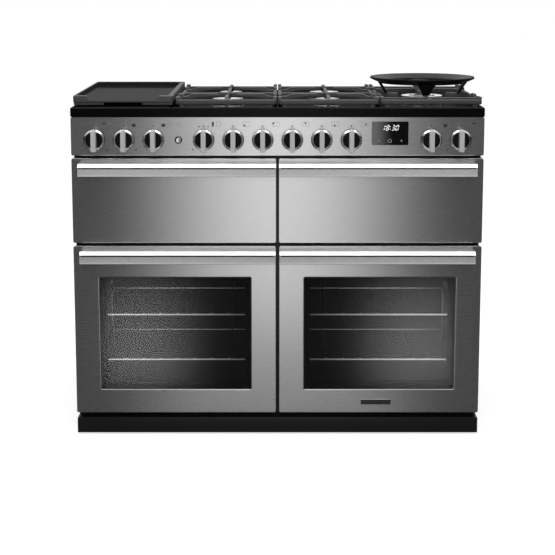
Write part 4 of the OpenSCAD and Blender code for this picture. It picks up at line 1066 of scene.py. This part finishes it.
def world():
    """White all round; metal mirrors white above, dim grey in front and behind, and dark at the sides."""
    scene_world = bpy.data.worlds.new("studio")
    bpy.context.scene.world = scene_world
    scene_world.use_nodes = True
    tree = scene_world.node_tree
    tree.nodes.clear()
    path = tree.nodes.new("ShaderNodeLightPath")
    place = tree.nodes.new("ShaderNodeTexCoord")
    split = tree.nodes.new("ShaderNodeSeparateXYZ")
    tree.links.new(place.outputs["Generated"], split.inputs["Vector"])
    x, y, z = (split.outputs[axis] for axis in "XYZ")
    rise = math_node(tree, "ADD", y, z)
    above = math_node(tree, "MULTIPLY", map_range(tree, rise, (0.05, 0.55), (0, 1)),
                      map_range(tree, z, (0.1, 0.4), (0, 1)))
    dim = math_node(tree, "MULTIPLY", map_range(tree, y, (-0.2, 0.3), (MIRRORED_FRONT, 0.04)),
                    map_range(tree, math_node(tree, "ABSOLUTE", x), (0.6, 0.9), (1, 0.15)))
    seen = math_node(tree, "MAXIMUM", above, dim)
    behind = map_range(tree, y, (0.1, 0.4), (0, 1))
    through_glass = background(tree, math_node(tree, "MAXIMUM", seen, behind))
    result = mix_shader(tree, path.outputs["Is Glossy Ray"], background(tree, DIFFUSE_LEVEL),
                        background(tree, seen))
    result = mix_shader(tree, path.outputs["Is Camera Ray"], result, background(tree, 1.0))
    result = mix_shader(tree, path.outputs["Is Transmission Ray"], result, through_glass)
    output = tree.nodes.new("ShaderNodeOutputWorld")
    tree.links.new(result, output.inputs["Surface"])


def floor():
    """A pale floor that the camera sees as white, with the cooker's shadow."""
    bpy.ops.mesh.primitive_plane_add(size=FLOOR_SIZE)
    plane = bpy.context.object
    plane.name = "floor"
    material = bpy.data.materials.new("floor")
    material.use_nodes = True
    tree = material.node_tree
    tree.nodes.clear()
    path = tree.nodes.new("ShaderNodeLightPath")
    glow = tree.nodes.new("ShaderNodeEmission")
    glow.inputs["Strength"].default_value = FLOOR_GLOW
    seen = tree.nodes.new("ShaderNodeAddShader")
    tree.links.new(matt(tree, FLOOR_SEEN), seen.inputs[0])
    tree.links.new(glow.outputs[0], seen.inputs[1])
    result = mix_shader(tree, path.outputs["Is Camera Ray"], matt(tree, FLOOR_UNSEEN), seen.outputs[0])
    output = tree.nodes.new("ShaderNodeOutputMaterial")
    tree.links.new(result, output.inputs["Surface"])
    plane.data.materials.append(material)


def lamps(outer_panes, inner_panes, clock, wires, lids, handles, panel, knobs):
    """The lamps. Most reach a few pieces alone, whose reflections they give."""
    strip = card("front strip", 0, FRONT_CARD_Y, 0.78, 1.4, 1.54, 1.22, ("X", 0.5, 0, 0.46))
    low = card("low strip", 0, FRONT_CARD_Y, 0.22, 1.4, 0.43, 0.8, ("X", 0.5, 0, 0.40), ("Y", 0, 0.4, 1))
    ground = lamp("floor card", (0, -0.95, 0.02), (0, -0.95, 1), 1.2, 1.2, 0.2)
    fade(ground, ("X", 0.5, 0.17, 0.43))
    for light in (strip, low, ground):
        only(light, [*outer_panes, *inner_panes, *handles, *knobs, clock], "EXCLUDE")
    only(card("panel light", 0, FRONT_CARD_Y, 0.75, 2, 0.5, 0.35, ("X", 0.5, 0.05, 0.5)), [panel])
    for side in (-1, 1):
        end = 0.5 + side / 2
        only(card("window card", side * 0.316, NEAR_CARD_Y, 0.166, 0.43, 0.332, 5.0,
                  ("X", end, 0.28, 0.78), ("Y", 0, 0.3, 1.45)), outer_panes)
        only(card("rack light", side * 0.275, -0.242, 0.28, 0.41, 0.34, 1.6, ("X", end, 0.1, 1.15)), wires)
        lamp("side fill", (side * 2.6, -1.8, 1.5), (0, 0, 0.5), 1.2, 1.6, 0.5, glossy=False)
    lamp("overhead", (0, -0.5, 2.4), (0, 0, 0.7), 2.4, 1.2, 2.4)
    only(card("clock card", 0.29, NEAR_CARD_Y, 0.755, 0.2, 0.3, 3, ("X", 0, 0.46, 0.78)), [clock])
    only(lamp("burner light", (0, 2.5, 1.15), (0, 0, 1.0), 3, 0.5, 1.0, diffuse=False), [lids])
    only(card("handle card", 0, FRONT_CARD_Y, 0.5, 2.6, 1.1, 0.6, ("X", 0.5, 0.1, 0.8)), handles)
    only(lamp("handle light", (0, -0.9, 2.0), (0, -0.3, 0.7), 2.4, 0.8, 1.3), handles)
    only(lamp("handle edge light", (0, FRONT_CARD_Y, 1.22), (0, -0.3, 0.7), 2.4, 0.4, 0.8), handles)
    only(lamp("knob light", (0, -1.6, 1.5), (0, -0.3, 0.8), 2.4, 1.0, 1.7, glossy=False), knobs)


def photo_camera():
    """The photograph's camera."""
    data = bpy.data.cameras.new("camera")
    data.lens = FOCAL
    data.sensor_width = SENSOR
    data.shift_y = SHIFT_UP
    camera = bpy.data.objects.new("camera", data)
    bpy.context.scene.collection.objects.link(camera)
    camera.location = (0, -CAMERA_AWAY * MM, CAMERA_HEIGHT * MM)
    camera.rotation_euler = (math.radians(90 - CAMERA_TILT), 0, 0)
    bpy.context.scene.camera = camera
    bpy.context.scene.view_settings.view_transform = "Standard"


def build():
    """Every piece, then the studio, some of whose lamps reach a few pieces alone."""
    lower_door("left")
    lower_door("right")
    badge()
    outer_panes, inner_panes = zip(panes("left"), panes("right"))
    grill_front()
    drawer_front()
    panel = control_panel()
    handles = [handle("left_door_handle", "left_oven_door", 5, LOW_HANDLE_TOP, mirror=True),
               handle("right_door_handle", "right_oven_door", 5, LOW_HANDLE_TOP),
               handle("grill_door_handle", "grill_door", 4, UP_HANDLE_TOP, mirror=True),
               handle("drawer_handle", "drawer", 4, UP_HANDLE_TOP)]
    knobs = [knob(name, x) for name, x in KNOBS.items()]
    button()
    panel_marks()
    clock = display()
    hob_tray()
    lids = burners()
    griddle()
    support("left_pan_support", COLUMNS[0])
    support("centre_pan_support", COLUMNS[1])
    support("right_pan_support", COLUMNS[2], wok=True)
    wok_cradle()
    plinth()
    paint_nodes()
    world()
    floor()
    wires = [nodes[name] for name in RACKS]
    lamps(outer_panes, inner_panes, clock, wires, lids, handles, panel, knobs)
    photo_camera()


build()
